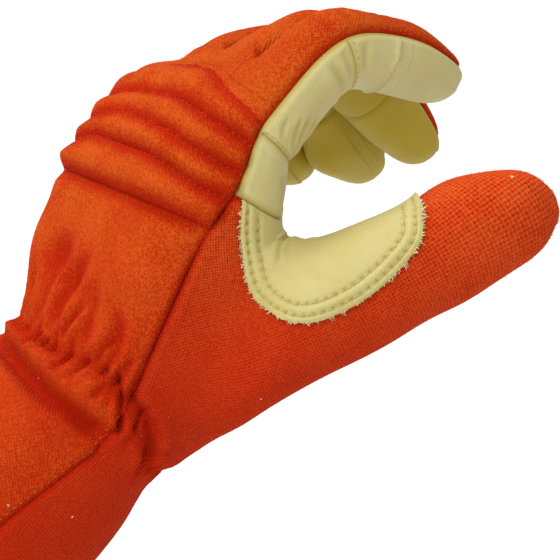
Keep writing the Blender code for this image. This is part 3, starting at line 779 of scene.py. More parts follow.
class Skin:
    """The finely divided outer surface, with the place and normal of every chart point, in millimetres."""

    # Reach, middle and spread of a stroke's shoulders by its width, and the depth at which its painted shade is
    # darkest
    stroke_reach = 4.0
    stroke_shoulder = (2.1, 1.1)
    darkest_depth = 2.5

    # Reach of a dent by its radius, and its painted shade by its depth
    dent_reach = 2.5
    dent_shade = 0.2

    # Pleats at the elastic: their columns, the ranges of their gaps, reach, lean, depth and width
    pleat_columns = (-0.6, 19.0)
    pleat_gap = (0.3, 0.95)
    pleat_length = (0.3, 1.1)
    pleat_lean = (-0.35, 0.35)
    pleat_depth = (0.4, 1.7)
    pleat_width = (0.9, 1.6)
    # How far a pleat reaches by its width, and the shade painted in it
    pleat_reach = 3.5
    pleat_shade = 0.9

    # Heights between which the painted shade on the leather between the fingers grows, and its shares there
    painted_shade_heights = (74.0, 90.0)
    painted_shade_shares = (0.78, 1.0)

    def __init__(self) -> None:
        """Divides the cage, lays its panels flat and reads its chart."""
        mesh = self._divided(self._as_mesh(Cage().build()), 1)
        Weave(mesh).lay_flat()
        self.mesh = self._divided(mesh, FINE_LEVELS)
        count = len(self.mesh.vertices)
        places = np.empty(count * 3, np.float32)
        self.mesh.vertices.foreach_get("co", places)
        normals = np.empty(count * 3, np.float32)
        self.mesh.vertex_normals.foreach_get("vector", normals)
        self.base = places.reshape(-1, 3) / MM
        self.normals = normals.reshape(-1, 3)
        self.offset = np.zeros(count, np.float32)
        # Share of painted shade at each vertex: in grooves, seams, pleats, hollows, rib valleys and between the
        # fingers
        self.fold = np.zeros(count, np.float32)
        self._read_chart()
        LOG.info("skin: %d vertices", count)

    @staticmethod
    def _as_mesh(bm: bmesh.types.BMesh) -> bpy.types.Mesh:
        """Turns a bmesh into a mesh and frees it."""
        mesh = bpy.data.meshes.new("skin")
        bm.to_mesh(mesh)
        bm.free()
        return mesh

    @staticmethod
    def _divided(mesh: bpy.types.Mesh, levels: int) -> bpy.types.Mesh:
        """The mesh after this many rounds of Catmull-Clark subdivision."""
        guide = bpy.data.objects.new("guide", mesh)
        bpy.context.scene.collection.objects.link(guide)
        smooth = guide.modifiers.new("smooth", "SUBSURF")
        smooth.levels = smooth.render_levels = levels
        smooth.use_limit_surface = False
        smooth.uv_smooth = "NONE"
        seen = guide.evaluated_get(bpy.context.evaluated_depsgraph_get())
        divided = bpy.data.meshes.new_from_object(seen)
        bpy.data.objects.remove(guide)
        return divided

    def _owners(self) -> np.ndarray:
        """The vertex of every face corner."""
        owners = np.empty(len(self.mesh.loops), np.int32)
        self.mesh.loops.foreach_get("vertex_index", owners)
        return owners

    def _read_chart(self) -> None:
        """Reads which vertex stands at each chart place, and each vertex's place on the body's chart."""
        mesh = self.mesh
        owners = self._owners()
        chart = np.empty(len(mesh.loops) * 2, np.float32)
        mesh.uv_layers["chart"].uv.foreach_get("vector", chart)
        chart = chart.reshape(-1, 2)
        keys = np.rint(chart * GRID).astype(int)
        self.at = dict(zip(map(tuple, keys.tolist()), owners.tolist()))
        self.column = np.full(len(self.base), np.nan, np.float32)
        self.row = np.full(len(self.base), np.nan, np.float32)
        on_body = chart[:, 1] < FINGER_ROW
        self.column[owners[on_body]] = chart[on_body, 0]
        self.row[owners[on_body]] = chart[on_body, 1]

    def _wrapped(self, column: float, row: float) -> tuple[float, float]:
        """A chart place with its column brought back into the range that its part of the glove has."""
        if row < FINGER_ROW:
            return column % COLUMNS, row
        if row < THUMB_ROW:
            first = column // SPAN * SPAN
            return first + (column - first) % FINGER_SIDES, row
        return THUMB_ROW + (column - THUMB_ROW) % THUMB_SIDES, row

    def trace(self, path: ChartPath) -> np.ndarray:
        """Follows a chart path over the surface.

        Args:
            path: chart places. Columns past the last go on round the part.

        Returns:
            The numbers of the vertices that it passes.
        """
        found: list[int] = []
        for (column, row), (next_column, next_row) in zip(path, path[1:]):
            steps = max(1, math.ceil(GRID * max(abs(next_column - column), abs(next_row - row))))
            for i in range(steps + 1):
                place = column + (next_column - column) * i / steps, row + (next_row - row) * i / steps
                wrapped = self._wrapped(*place)
                vertex = self.at.get((round(wrapped[0] * GRID), round(wrapped[1] * GRID)))
                if vertex is not None and (not found or found[-1] != vertex):
                    found.append(vertex)
        return np.array(found)

    def line(self, path: ChartPath) -> tuple[np.ndarray, np.ndarray]:
        """The places and normals along a chart path, smoothed.

        Args:
            path: chart places.

        Returns:
            Two arrays with one row a point.
        """
        found = self.trace(path)
        places, normals = self.base[found], self.normals[found]
        reach = min(7, len(found) // 2 * 2 - 1)
        if reach < 3:
            return places, normals
        kernel = np.ones(reach) / reach
        padded = np.pad(places, ((reach // 2, reach // 2), (0, 0)), mode="reflect", reflect_type="odd")
        smooth = np.stack([np.convolve(padded[:, axis], kernel, "valid") for axis in range(3)], axis=1)
        return smooth, normals

    def near(
        self, places: np.ndarray, normals: np.ndarray, reach: float
    ) -> tuple[np.ndarray, np.ndarray, np.ndarray]:
        """The vertices near a line that face the way that it does.

        Args:
            places: the line's points.
            normals: its normals.
            reach: how far to look.

        Returns:
            Their numbers, their distances from the line, and how far along it they are from 0 to 1.
        """
        low, high = places.min(0) - reach, places.max(0) + reach
        inside = np.flatnonzero(((self.base > low) & (self.base < high)).all(1))
        gaps = np.linalg.norm(self.base[inside][:, None] - places[None].astype(np.float32), axis=2)
        nearest = gaps.argmin(1)
        distance = gaps[np.arange(len(inside)), nearest]
        facing = (self.normals[inside] * normals[nearest]).sum(1) > 0.1
        close = (distance < reach) & facing
        share = nearest[close] / max(len(places) - 1, 1)
        return inside[close], distance[close], share

    def press(self, stroke: Stroke) -> None:
        """Presses one stroke into the surface, and paints shade in it where it is a groove.

        Args:
            stroke: the line, its depth and its width.
        """
        places, normals = self.line(stroke.path)
        vertices, distance, share = self.near(places, normals, self.stroke_reach * stroke.width)
        groove = np.exp(-((distance / stroke.width) ** 2))
        middle, spread = (ratio * stroke.width for ratio in self.stroke_shoulder)
        shoulder = stroke.shoulder * np.exp(-(((distance - middle) / spread) ** 2))
        ends = soft(np.minimum(share, 1 - share) / max(stroke.fade, 1e-3)) if stroke.fade else 1.0
        self.offset[vertices] -= stroke.depth * (groove - shoulder) * ends
        if stroke.depth > 0:
            shade = min(stroke.depth / self.darkest_depth, 1.0) * groove * ends
            self.fold[vertices] = np.maximum(self.fold[vertices], shade)

    def dent(self, dent: Dent, shaded: bool) -> None:
        """Presses one soft hollow into the surface.

        Args:
            dent: the hollow or swelling.
            shaded: whether shade is painted in it, darker where it is deeper.
        """
        found = self.trace(((dent.column, dent.row), (dent.column + 0.1, dent.row)))
        vertices, distance, _ = self.near(self.base[found], self.normals[found], self.dent_reach * dent.radius)
        bowl = np.exp(-((distance / dent.radius) ** 2))
        self.offset[vertices] -= dent.depth * bowl
        if shaded:
            shade = max(dent.depth, 0.0) * self.dent_shade * bowl
            self.fold[vertices] = np.maximum(self.fold[vertices], shade)

    def raise_ribs(self) -> None:
        """Pads the knuckles with one round rib between each two valleys, with shade painted in the valleys."""
        across = (self.column > BACK_FIRST - 0.1) & (self.column < BACK_LAST + 0.1)
        along = (self.row >= PAD_LEVEL - 0.01) & (self.row < PAD_TOP_LEVEL + 1)
        on_pad = np.flatnonzero(along & across)
        columns, rows = self.column[on_pad], self.row[on_pad]
        top = np.interp(columns, *zip(*RIB_VALLEYS[-1]))
        keep = rows <= top
        on_pad, columns = on_pad[keep], columns[keep]
        distance = self._from_lines(on_pad, RIB_VALLEYS)
        sides = [((column, PAD_LEVEL), (column, PAD_TOP_LEVEL)) for column in (BACK_FIRST, BACK_LAST)]
        rise = np.minimum(distance / RIB_ROUND, 1.0)
        crown = RIB_SOFT_PART * soft(rise) + RIB_ROUND_PART * np.sqrt(1 - (1 - rise) ** 2)
        end = np.sqrt(soft(self._from_lines(on_pad, sides) / RIB_END))
        self.offset[on_pad] += RIB_HEIGHT * np.interp(columns, *zip(*RIB_HEIGHTS)) * crown * end
        shade = RIB_SHADE * np.exp(-((distance / RIB_SHADE_WIDTH) ** 2)) * end
        self.fold[on_pad] = np.maximum(self.fold[on_pad], shade)

    def _from_lines(self, vertices: np.ndarray, paths: Iterable[ChartPath]) -> np.ndarray:
        """How far each vertex is from the nearest of several lines.

        Args:
            vertices: the vertices' numbers.
            paths: the lines' chart places.

        Returns:
            One distance for each vertex.
        """
        nearest = []
        for path in paths:
            places, _ = self.line(path)
            gaps = np.linalg.norm(self.base[vertices][:, None] - places[None].astype(np.float32), axis=2)
            nearest.append(gaps.min(1))
        return np.min(nearest, axis=0).astype(float)

    def gather_wrist(self, draws: random.Random) -> None:
        """Small pleats on both sides of the elastic, each with its own place, length and depth.

        Args:
            draws: the seeded draws.
        """
        columns, rows = zip(*((c - COLUMNS, r) for c, r in ELASTIC))
        column, last = self.pleat_columns
        while column < last:
            start = float(np.interp(column, columns, rows))
            for way in (1, -1):
                reach = way * draws.uniform(*self.pleat_length) * (1.0 if way > 0 else 0.6)
                lean = draws.uniform(*self.pleat_lean)
                bend = (column + lean * 0.4, start + reach * 0.5)
                path = ((column, start), bend, (column + lean, start + reach))
                self._pleat(path, draws.uniform(*self.pleat_depth), draws.uniform(*self.pleat_width))
            column += draws.uniform(*self.pleat_gap)

    def _pleat(self, path: ChartPath, depth: float, width: float) -> None:
        """One pleat, deepest and with the most painted shade at the elastic, and running out at its other end.

        Args:
            path: its chart places, from the elastic.
            depth: its depth.
            width: its width.
        """
        places, normals = self.line(path)
        vertices, distance, share = self.near(places, normals, self.pleat_reach * width)
        groove = np.exp(-((distance / width) ** 2)) - 0.4 * np.exp(-(((distance - 2.1 * width) / width) ** 2))
        self.offset[vertices] -= depth * groove * soft(1 - share)
        shade = self.pleat_shade * np.exp(-((distance / width) ** 2)) * (1 - share)
        self.fold[vertices] = np.maximum(self.fold[vertices], shade)

    def sink_seams(self) -> None:
        """Draws the surface in along every seam, least between two leathers, and paints shade in the grooves.
        """
        mesh = self.mesh
        owners = self._owners()
        numbers = np.empty(len(mesh.polygons), np.int32)
        mesh.polygons.foreach_get("material_index", numbers)
        sizes = np.empty(len(mesh.polygons), np.int32)
        mesh.polygons.foreach_get("loop_total", sizes)
        of_loop = np.repeat(numbers, sizes)
        joined = [{PANELS.index(name) for name in pair} for pair in UNMARKED_SEAMS]
        low = np.full(len(self.base), len(PANELS))
        high = np.full(len(self.base), -1)
        np.minimum.at(low, owners, of_loop)
        np.maximum.at(high, owners, of_loop)
        seams = [v for v in np.flatnonzero(low != high) if {int(low[v]), int(high[v])} not in joined]
        tree = KDTree(len(seams))
        for v in seams:
            tree.insert(self.base[v], int(v))
        tree.balance()
        for v, place in enumerate(self.base):
            _, seam, distance = tree.find(place)
            if distance > SEAM_REACH or self.normals[v] @ self.normals[seam] < 0.2:
                continue
            depth, width, shade = self._groove(PANELS[low[seam]], PANELS[high[seam]])
            groove = math.exp(-((distance / width) ** 2))
            shoulder = math.exp(-(((distance - 2.4 * width) / width) ** 2))
            self.offset[v] -= depth * (groove - SEAM_SHOULDER * shoulder)
            self.fold[v] = max(self.fold[v], shade * groove)

    @staticmethod
    def _groove(first: str, second: str) -> SeamGroove:
        """The groove of the seam between two panels."""
        if {first, second} == {"back_panel", "knuckle_pad"}:
            return PAD_SEAM
        both_leather = PANEL_CLOTH[first] is PANEL_CLOTH[second] is Cloth.LEATHER
        return LEATHER_SEAM if both_leather else CLOTH_SEAM

    def paint_shade_between_fingers(self) -> None:
        """Paints shade on the middle, ring and little fingers' leather, shaded by the index, less of it lower
        down.
        """
        mesh = self.mesh
        painted_dark = [i for i, name in enumerate(PANELS) if name.split("_")[0] in ("middle", "ring", "little")]
        for polygon in mesh.polygons:
            if polygon.material_index in painted_dark:
                for vertex in polygon.vertices:
                    shade = np.interp(self.base[vertex][2], self.painted_shade_heights, self.painted_shade_shares)
                    self.fold[vertex] = max(self.fold[vertex], float(shade))

    def shaped(self) -> bmesh.types.BMesh:
        """The surface after all its folds, with layers for its outward directions and the shade painted on it.

        Returns:
            The whole surface as one bmesh.
        """
        places = (self.base + self.normals * self.offset[:, None]) * MM
        self.mesh.vertices.foreach_set("co", places.ravel())
        self.mesh.update()
        bm = bmesh.new()
        bm.from_mesh(self.mesh)
        outward = bm.verts.layers.float_vector.new("outward")
        fold = bm.verts.layers.float.new("fold")
        for vertex, direction, shade in zip(bm.verts, self.normals.tolist(), self.fold.tolist()):
            vertex[outward] = direction
            vertex[fold] = shade
        return bm


class Graph:
    """Adds nodes to a node tree and links them."""

    def __init__(self, tree: bpy.types.NodeTree) -> None:
        """Takes the tree that the nodes go into."""
        self.tree = tree

    def node(self, kind: str, **settings: object) -> bpy.types.Node:
        """Adds a node.

        Args:
            kind: its type.
            settings: its properties.

        Returns:
            The new node.
        """
        node = self.tree.nodes.new(kind)
        for name, value in settings.items():
            setattr(node, name, value)
        return node

    def feed(self, socket: bpy.types.NodeSocket, value: object) -> None:
        """Links an output to a socket, or sets the socket's own value.

        Args:
            socket: the input.
            value: an output, or a value.
        """
        if isinstance(value, bpy.types.NodeSocket):
            self.tree.links.new(value, socket)
        else:
            socket.default_value = value

    def math(self, operation: str, *values: object) -> bpy.types.NodeSocket:
        """Adds a Math node.

        Args:
            operation: the node's operation.
            values: its inputs, each a number or an output.

        Returns:
            The node's output.
        """
        node = self.node("ShaderNodeMath", operation=operation)
        for socket, value in zip(node.inputs, values):
            self.feed(socket, value)
        return node.outputs[0]

    def mix(self, share: object, first: object, second: object) -> bpy.types.NodeSocket:
        """Mixes two colours.

        Args:
            share: how much of the second.
            first: a colour or an output.
            second: a colour or an output.

        Returns:
            The mixed colour.
        """
        node = self.node("ShaderNodeMix", data_type="RGBA")
        self.feed(node.inputs["Factor"], share)
        self.feed(node.inputs["A"], first)
        self.feed(node.inputs["B"], second)
        return node.outputs["Result"]

    def noise(self, vector: object, scale: float, detail: float = 2.0) -> bpy.types.NodeSocket:
        """Adds a noise texture.

        Args:
            vector: where it is read.
            scale: its scale for each metre.
            detail: how many finer layers it has.

        Returns:
            Its value.
        """
        node = self.node("ShaderNodeTexNoise")
        self.feed(node.inputs["Vector"], vector)
        self.feed(node.inputs["Scale"], scale)
        self.feed(node.inputs["Detail"], detail)
        return node.outputs["Fac"]

    def ramp(self, value: object, low: float, high: float) -> bpy.types.NodeSocket:
        """Spreads a range over 0 to 1, smoothly.

        Args:
            value: the number or output that is spread.
            low: the value that becomes 0.
            high: the value that becomes 1.

        Returns:
            The new value.
        """
        node = self.node("ShaderNodeMapRange", interpolation_type="SMOOTHSTEP")
        self.feed(node.inputs["Value"], value)
        self.feed(node.inputs["From Min"], low)
        self.feed(node.inputs["From Max"], high)
        return node.outputs["Result"]


class Effects:
    """The shared effects, each a node group that is built once."""

    def __init__(self) -> None:
        """Builds every group."""
        self.knit = self._knit()
        self.waffle = self._waffle()
        self.mottle = self._mottle()
        self.grain = self._grain()

    @staticmethod
    def _group(
        name: str, inputs: dict[str, str], outputs: list[str]
    ) -> tuple[Graph, bpy.types.Node, bpy.types.Node]:
        """Starts a group.

        Args:
            name: its name.
            inputs: the kind of each input socket.
            outputs: names of its value outputs.

        Returns:
            The group's graph, its input node and its output node.
        """
        tree = bpy.data.node_groups.new(name, "ShaderNodeTree")
        for socket, kind in inputs.items():
            tree.interface.new_socket(socket, in_out="INPUT", socket_type=kind)
        for socket in outputs:
            tree.interface.new_socket(socket, in_out="OUTPUT", socket_type="NodeSocketFloat")
        graph = Graph(tree)
        return graph, graph.node("NodeGroupInput"), graph.node("NodeGroupOutput")

    def _stitch_group(self, name: str) -> tuple[Graph, list[bpy.types.NodeSocket], bpy.types.Node]:
        """Starts a group for a pattern that is laid flat on the cloth and turned by its slant.

        Args:
            name: the group's name.

        Returns:
            The group's graph, the place across and along it counted in stitches, and its output node.
        """
        kinds = {"Flat": "NodeSocketVector", "Pitch": "NodeSocketFloat", "Slant": "NodeSocketFloat"}
        graph, inside, out = self._group(name, kinds, ["Height"])
        turned = graph.node("ShaderNodeVectorRotate", rotation_type="Z_AXIS")
        graph.feed(turned.inputs["Vector"], inside.outputs["Flat"])
        graph.feed(turned.inputs["Angle"], inside.outputs["Slant"])
        parts = graph.node("ShaderNodeSeparateXYZ")
        graph.feed(parts.inputs[0], turned.outputs[0])
        places = [graph.math("DIVIDE", parts.outputs[axis], inside.outputs["Pitch"]) for axis in ("X", "Y")]
        return graph, places, out

    def _knit(self) -> bpy.types.NodeTree:
        """Columns of small V-shaped stitches."""
        graph, (across, along), out = self._stitch_group("knit_stitches")
        side = graph.math("ABSOLUTE", graph.math("SUBTRACT", graph.math("FRACT", across), 0.5))
        from_leg = graph.math("ABSOLUTE", graph.math("SUBTRACT", side, 0.25))
        leg = graph.math("SUBTRACT", 1.0, graph.math("MULTIPLY", from_leg, 4.0))
        chevron = graph.math("ADD", graph.math("MULTIPLY", along, 1.25), graph.math("MULTIPLY", side, 1.1))
        wave = graph.math("SINE", graph.math("MULTIPLY", chevron, 2 * math.pi))
        loops = graph.math("ADD", 0.62, graph.math("MULTIPLY", wave, 0.38))
        yarn = graph.math("POWER", graph.math("MAXIMUM", leg, 0.0), 0.6)
        graph.feed(out.inputs["Height"], graph.math("MULTIPLY", yarn, loops))
        return graph.tree

    def _waffle(self) -> bpy.types.NodeTree:
        """A grid of small raised loops, as on the coarser side cloth."""
        graph, places, out = self._stitch_group("waffle_loops")
        waves = [graph.math("COSINE", graph.math("MULTIPLY", place, 2 * math.pi)) for place in places]
        total = graph.math("ADD", *waves)
        graph.feed(out.inputs["Height"], graph.math("ADD", 0.5, graph.math("MULTIPLY", total, 0.25)))
        return graph.tree

    def _mottle(self) -> bpy.types.NodeTree:
        """Broad shade, fine shade and sparse pale flecks of lint."""
        outputs = ["Broad", "Fine", "Lint"]
        graph, inside, out = self._group("cloth_mottle", {"Place": "NodeSocketVector"}, outputs)
        place = inside.outputs["Place"]
        graph.feed(out.inputs["Broad"], graph.ramp(graph.noise(place, 60.0, 3.0), 0.3, 0.7))
        graph.feed(out.inputs["Fine"], graph.ramp(graph.noise(place, 1150.0, 2.0), 0.32, 0.68))
        cells = graph.node("ShaderNodeTexVoronoi")
        graph.feed(cells.inputs["Vector"], place)
        graph.feed(cells.inputs["Scale"], 170.0)
        chosen = graph.node("ShaderNodeSeparateColor")
        graph.feed(chosen.inputs[0], cells.outputs["Color"])
        few = graph.math("GREATER_THAN", chosen.outputs[0], 0.94)
        small = graph.math("LESS_THAN", cells.outputs["Distance"], 0.085)
        graph.feed(out.inputs["Lint"], graph.math("MULTIPLY", few, small))
        return graph.tree

    def _grain(self) -> bpy.types.NodeTree:
        """Fine leather grain, with soft creases, and a broad change of shade."""
        graph, inside, out = self._group("leather_grain", {"Place": "NodeSocketVector"}, ["Height", "Shade"])
        place = inside.outputs["Place"]
        cells = graph.node("ShaderNodeTexVoronoi", feature="DISTANCE_TO_EDGE")
        graph.feed(cells.inputs["Vector"], place)
        graph.feed(cells.inputs["Scale"], 1500.0)
        pores = graph.ramp(cells.outputs["Distance"], 0.0, 0.25)
        soft_creases = graph.noise(place, 220.0, 4.0)
        total = graph.math("ADD", graph.math("MULTIPLY", pores, 0.3), soft_creases)
        graph.feed(out.inputs["Height"], total)
        graph.feed(out.inputs["Shade"], graph.ramp(graph.noise(place, 45.0, 4.0), 0.3, 0.7))
        return graph.tree


@dataclass(frozen=True)
class KnitFinish:
    """Cotton knit with its stitches in relief.

    The colours are linear, the pitch is in metres and the slant in degrees. Low on the glove the ridges take a
    darker colour, a painted shade, which gives way to the ridge colour over the heights given. The valley
    colour is painted shade between the stitches and in folds, and the dark end of the mottling. The weights say
    how much the stitches, the two sizes of mottling and the shade painted in folds lighten or darken the cloth.
    """

    name: str
    ridge: Colour
    # Painted shade between the stitches and in folds, and the dark end of the mottling
    valley: Colour
    # Ridge colour low on the glove, a painted shade
    painted_dark: Colour
    pitch: float
    slant: float
    relief: float
    coarse: bool = False
    # Heights over which that painted shade gives way to the ridge colour
    taper: tuple[float, float] = (-0.01, 0.10)
    stitch_weight: float = 0.7
    broad_weight: float = 0.22
    fine_weight: float = 0.38
    darkening: float = 0.18
    fold_weight: float = 0.75
    fuzz: float = 0.35
    lint: Colour = (0.75, 0.55, 0.42, 1)
    roughness: float = 0.95
    specular: float = 0.05
    sheen: float = 0.1
    sheen_roughness: float = 0.5
    sheen_tint: Colour = (1.0, 0.15, 0.03, 1)

    def material(self, effects: Effects) -> bpy.types.Material:
        """Builds the material.

        Args:
            effects: the shared node groups.

        Returns:
            The new material.
        """
        material = bpy.data.materials.new(self.name)
        material.use_nodes = True
        graph = Graph(material.node_tree)
        shader = material.node_tree.nodes["Principled BSDF"]
        flat = graph.node("ShaderNodeUVMap", uv_map="weave")
        place = graph.node("ShaderNodeTexCoord")
        stitches = graph.node("ShaderNodeGroup", node_tree=effects.waffle if self.coarse else effects.knit)
        graph.feed(stitches.inputs["Flat"], flat.outputs["UV"])
        graph.feed(stitches.inputs["Pitch"], self.pitch)
        graph.feed(stitches.inputs["Slant"], math.radians(self.slant))
        mottle = graph.node("ShaderNodeGroup", node_tree=effects.mottle)
        graph.feed(mottle.inputs["Place"], place.outputs["Object"])
        fold = graph.node("ShaderNodeAttribute", attribute_name="fold")
        height = stitches.outputs["Height"]
        # The stitches' height paints shade in their gaps; the mottling adds a random tone
        lit = graph.math("MULTIPLY", height, self.stitch_weight)
        lit = graph.math("ADD", lit, graph.math("MULTIPLY", mottle.outputs["Broad"], self.broad_weight))
        lit = graph.math("ADD", lit, graph.math("MULTIPLY", mottle.outputs["Fine"], self.fine_weight))
        lit = graph.math("SUBTRACT", lit, self.darkening)
        # Painted shade in grooves, seams, pleats, hollows and rib valleys
        lit = graph.math("SUBTRACT", lit, graph.math("MULTIPLY", fold.outputs["Fac"], self.fold_weight))
        # Painted shade low on the glove: there the ridges take a darker colour
        level = graph.node("ShaderNodeSeparateXYZ")
        graph.feed(level.inputs[0], place.outputs["Object"])
        ridge = graph.mix(graph.ramp(level.outputs["Z"], *self.taper), self.painted_dark, self.ridge)
        colour = graph.mix(graph.math("MAXIMUM", graph.math("MINIMUM", lit, 1.0), 0.0), self.valley, ridge)
        graph.feed(shader.inputs["Base Color"], graph.mix(mottle.outputs["Lint"], colour, self.lint))
        bump = graph.node("ShaderNodeBump")
        graph.feed(bump.inputs["Distance"], self.relief)
        graph.feed(bump.inputs["Strength"], 1.0)
        rough = graph.math("ADD", height, graph.math("MULTIPLY", mottle.outputs["Fine"], self.fuzz))
        graph.feed(bump.inputs["Height"], rough)
        graph.feed(shader.inputs["Normal"], bump.outputs["Normal"])
        shader.inputs["Roughness"].default_value = self.roughness
        shader.inputs["Specular IOR Level"].default_value = self.specular
        shader.inputs["Sheen Weight"].default_value = self.sheen
        shader.inputs["Sheen Roughness"].default_value = self.sheen_roughness
        shader.inputs["Sheen Tint"].default_value = self.sheen_tint
        return material


@dataclass(frozen=True)
class LeatherFinish:
    """Soft grain leather, with linear colours."""

    name: str
    light: Colour
    # Random darker tone, and also the shade painted in seams, creases and between the fingers
    olive_and_painted_shade: Colour
    relief: float = 0.00025
    shade_weight: float = 0.22
    fold_weight: float = 0.97
    roughness: float = 0.5
    specular: float = 0.25
    sheen: float = 0.08

    def material(self, effects: Effects) -> bpy.types.Material:
        """Builds the material.

        Args:
            effects: the shared node groups.

        Returns:
            The new material.
        """
        material = bpy.data.materials.new(self.name)
        material.use_nodes = True
        graph = Graph(material.node_tree)
        shader = material.node_tree.nodes["Principled BSDF"]
        place = graph.node("ShaderNodeTexCoord")
        grain = graph.node("ShaderNodeGroup", node_tree=effects.grain)
        graph.feed(grain.inputs["Place"], place.outputs["Object"])
        fold = graph.node("ShaderNodeAttribute", attribute_name="fold")
        shade = graph.math("MULTIPLY", grain.outputs["Shade"], self.shade_weight)
        # The grain's random tone and the painted shade both draw the colour towards the second, olive colour
        share = graph.math("ADD", shade, graph.math("MULTIPLY", fold.outputs["Fac"], self.fold_weight))
        colour = graph.mix(graph.math("MINIMUM", share, 1.0), self.light, self.olive_and_painted_shade)
        graph.feed(shader.inputs["Base Color"], colour)
        bump = graph.node("ShaderNodeBump")
        graph.feed(bump.inputs["Distance"], self.relief)
        graph.feed(bump.inputs["Height"], grain.outputs["Height"])
        graph.feed(shader.inputs["Normal"], bump.outputs["Normal"])
        shader.inputs["Roughness"].default_value = self.roughness
        shader.inputs["Specular IOR Level"].default_value = self.specular
        shader.inputs["Sheen Weight"].default_value = self.sheen
        return material


@dataclass(frozen=True)
class ThreadFinish:
    """Twisted sewing thread or loose cotton fibre."""

    name: str
    colour: Colour
    roughness: float = 0.7
    specular: float = 0.1
    dark_share: float = 0.75

    def material(self, effects: Effects) -> bpy.types.Material:
        """Builds the material, with a slight change of shade along the thread.

        Args:
            effects: the shared node groups.

        Returns:
            The new material.
        """
        material = bpy.data.materials.new(self.name)
        material.use_nodes = True
        graph = Graph(material.node_tree)
        shader = material.node_tree.nodes["Principled BSDF"]
        place = graph.node("ShaderNodeTexCoord")
        mottle = graph.node("ShaderNodeGroup", node_tree=effects.mottle)
        graph.feed(mottle.inputs["Place"], place.outputs["Object"])
        dark = tuple(channel * self.dark_share for channel in self.colour[:3]) + (1,)
        graph.feed(shader.inputs["Base Color"], graph.mix(mottle.outputs["Fine"], dark, self.colour))
        shader.inputs["Roughness"].default_value = self.roughness
        shader.inputs["Specular IOR Level"].default_value = self.specular
        return material


@dataclass
class Wardrobe:
    """Every finish of the glove."""

    # In each knit the valley colour and the darker ridge colour low on the glove are painted shade
    back: KnitFinish = KnitFinish(
        "back_knit",
        ridge=(0.90, 0.195, 0.016, 1),
        valley=(0.56, 0.016, 0.0012, 1),
        painted_dark=(0.80, 0.100, 0.011, 1),
        pitch=0.00112,
        slant=38.0,
        relief=0.00055,
    )
    side: KnitFinish = KnitFinish(
        "side_knit",
        ridge=(0.82, 0.145, 0.022, 1),
        valley=(0.46, 0.014, 0.0018, 1),
        painted_dark=(0.56, 0.040, 0.006, 1),
        pitch=0.00098,
        slant=4.0,
        relief=0.0004,
        coarse=True,
    )
    # The olive colour is the leather's random darker tone and also its painted shade
    leather: LeatherFinish = LeatherFinish("grain_leather", (0.61, 0.55, 0.25, 1), (0.455, 0.325, 0.012, 1))
    yellow_thread: ThreadFinish = ThreadFinish("yellow_thread", (0.56, 0.48, 0.19, 1))
    orange_thread: ThreadFinish = ThreadFinish("orange_thread", (0.68, 0.10, 0.015, 1))
    leather_fibre: ThreadFinish = ThreadFinish("leather_fibre", (0.74, 0.66, 0.34, 1), 0.9)
    back_fibre: ThreadFinish = ThreadFinish("knit_back_fibre", (0.80, 0.16, 0.03, 1), 0.9)
    side_fibre: ThreadFinish = ThreadFinish("knit_side_fibre", (0.76, 0.13, 0.03, 1), 0.9)
    materials: dict[Cloth, bpy.types.Material] = field(default_factory=dict)

    def dress(self, effects: Effects) -> None:
        """Builds the three cloth materials.

        Args:
            effects: the shared node groups.
        """
        self.materials = {
            Cloth.BACK_KNIT: self.back.material(effects),
            Cloth.SIDE_KNIT: self.side.material(effects),
            Cloth.LEATHER: self.leather.material(effects),
        }


class Piece:
    """Turns a finished bmesh into an object that rides on the glove."""

    @staticmethod
    def add(name: str, bm: bmesh.types.BMesh, material: bpy.types.Material, slot: Cloth) -> bpy.types.Object:
        """Makes the object.

        Args:
            name: its name.
            bm: its mesh, in metres. It is freed.
            material: its finish.
            slot: the record's slot for its finish; not used.

        Returns:
            The new object.
        """
        mesh = bpy.data.meshes.new(name)
        bm.to_mesh(mesh)
        bm.free()
        mesh.materials.clear()
        mesh.materials.append(material)
        mesh.polygons.foreach_set("material_index", [0] * len(mesh.polygons))
        mesh.shade_smooth()
        mesh.set_sharp_from_angle(angle=math.radians(60))
        piece = bpy.data.objects.new(name, mesh)
        bpy.context.scene.collection.objects.link(piece)
        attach(piece, "root")
        mesh.calc_loop_triangles()
        LOG.info("%s: %d triangles", name, len(mesh.loop_triangles))
        return piece


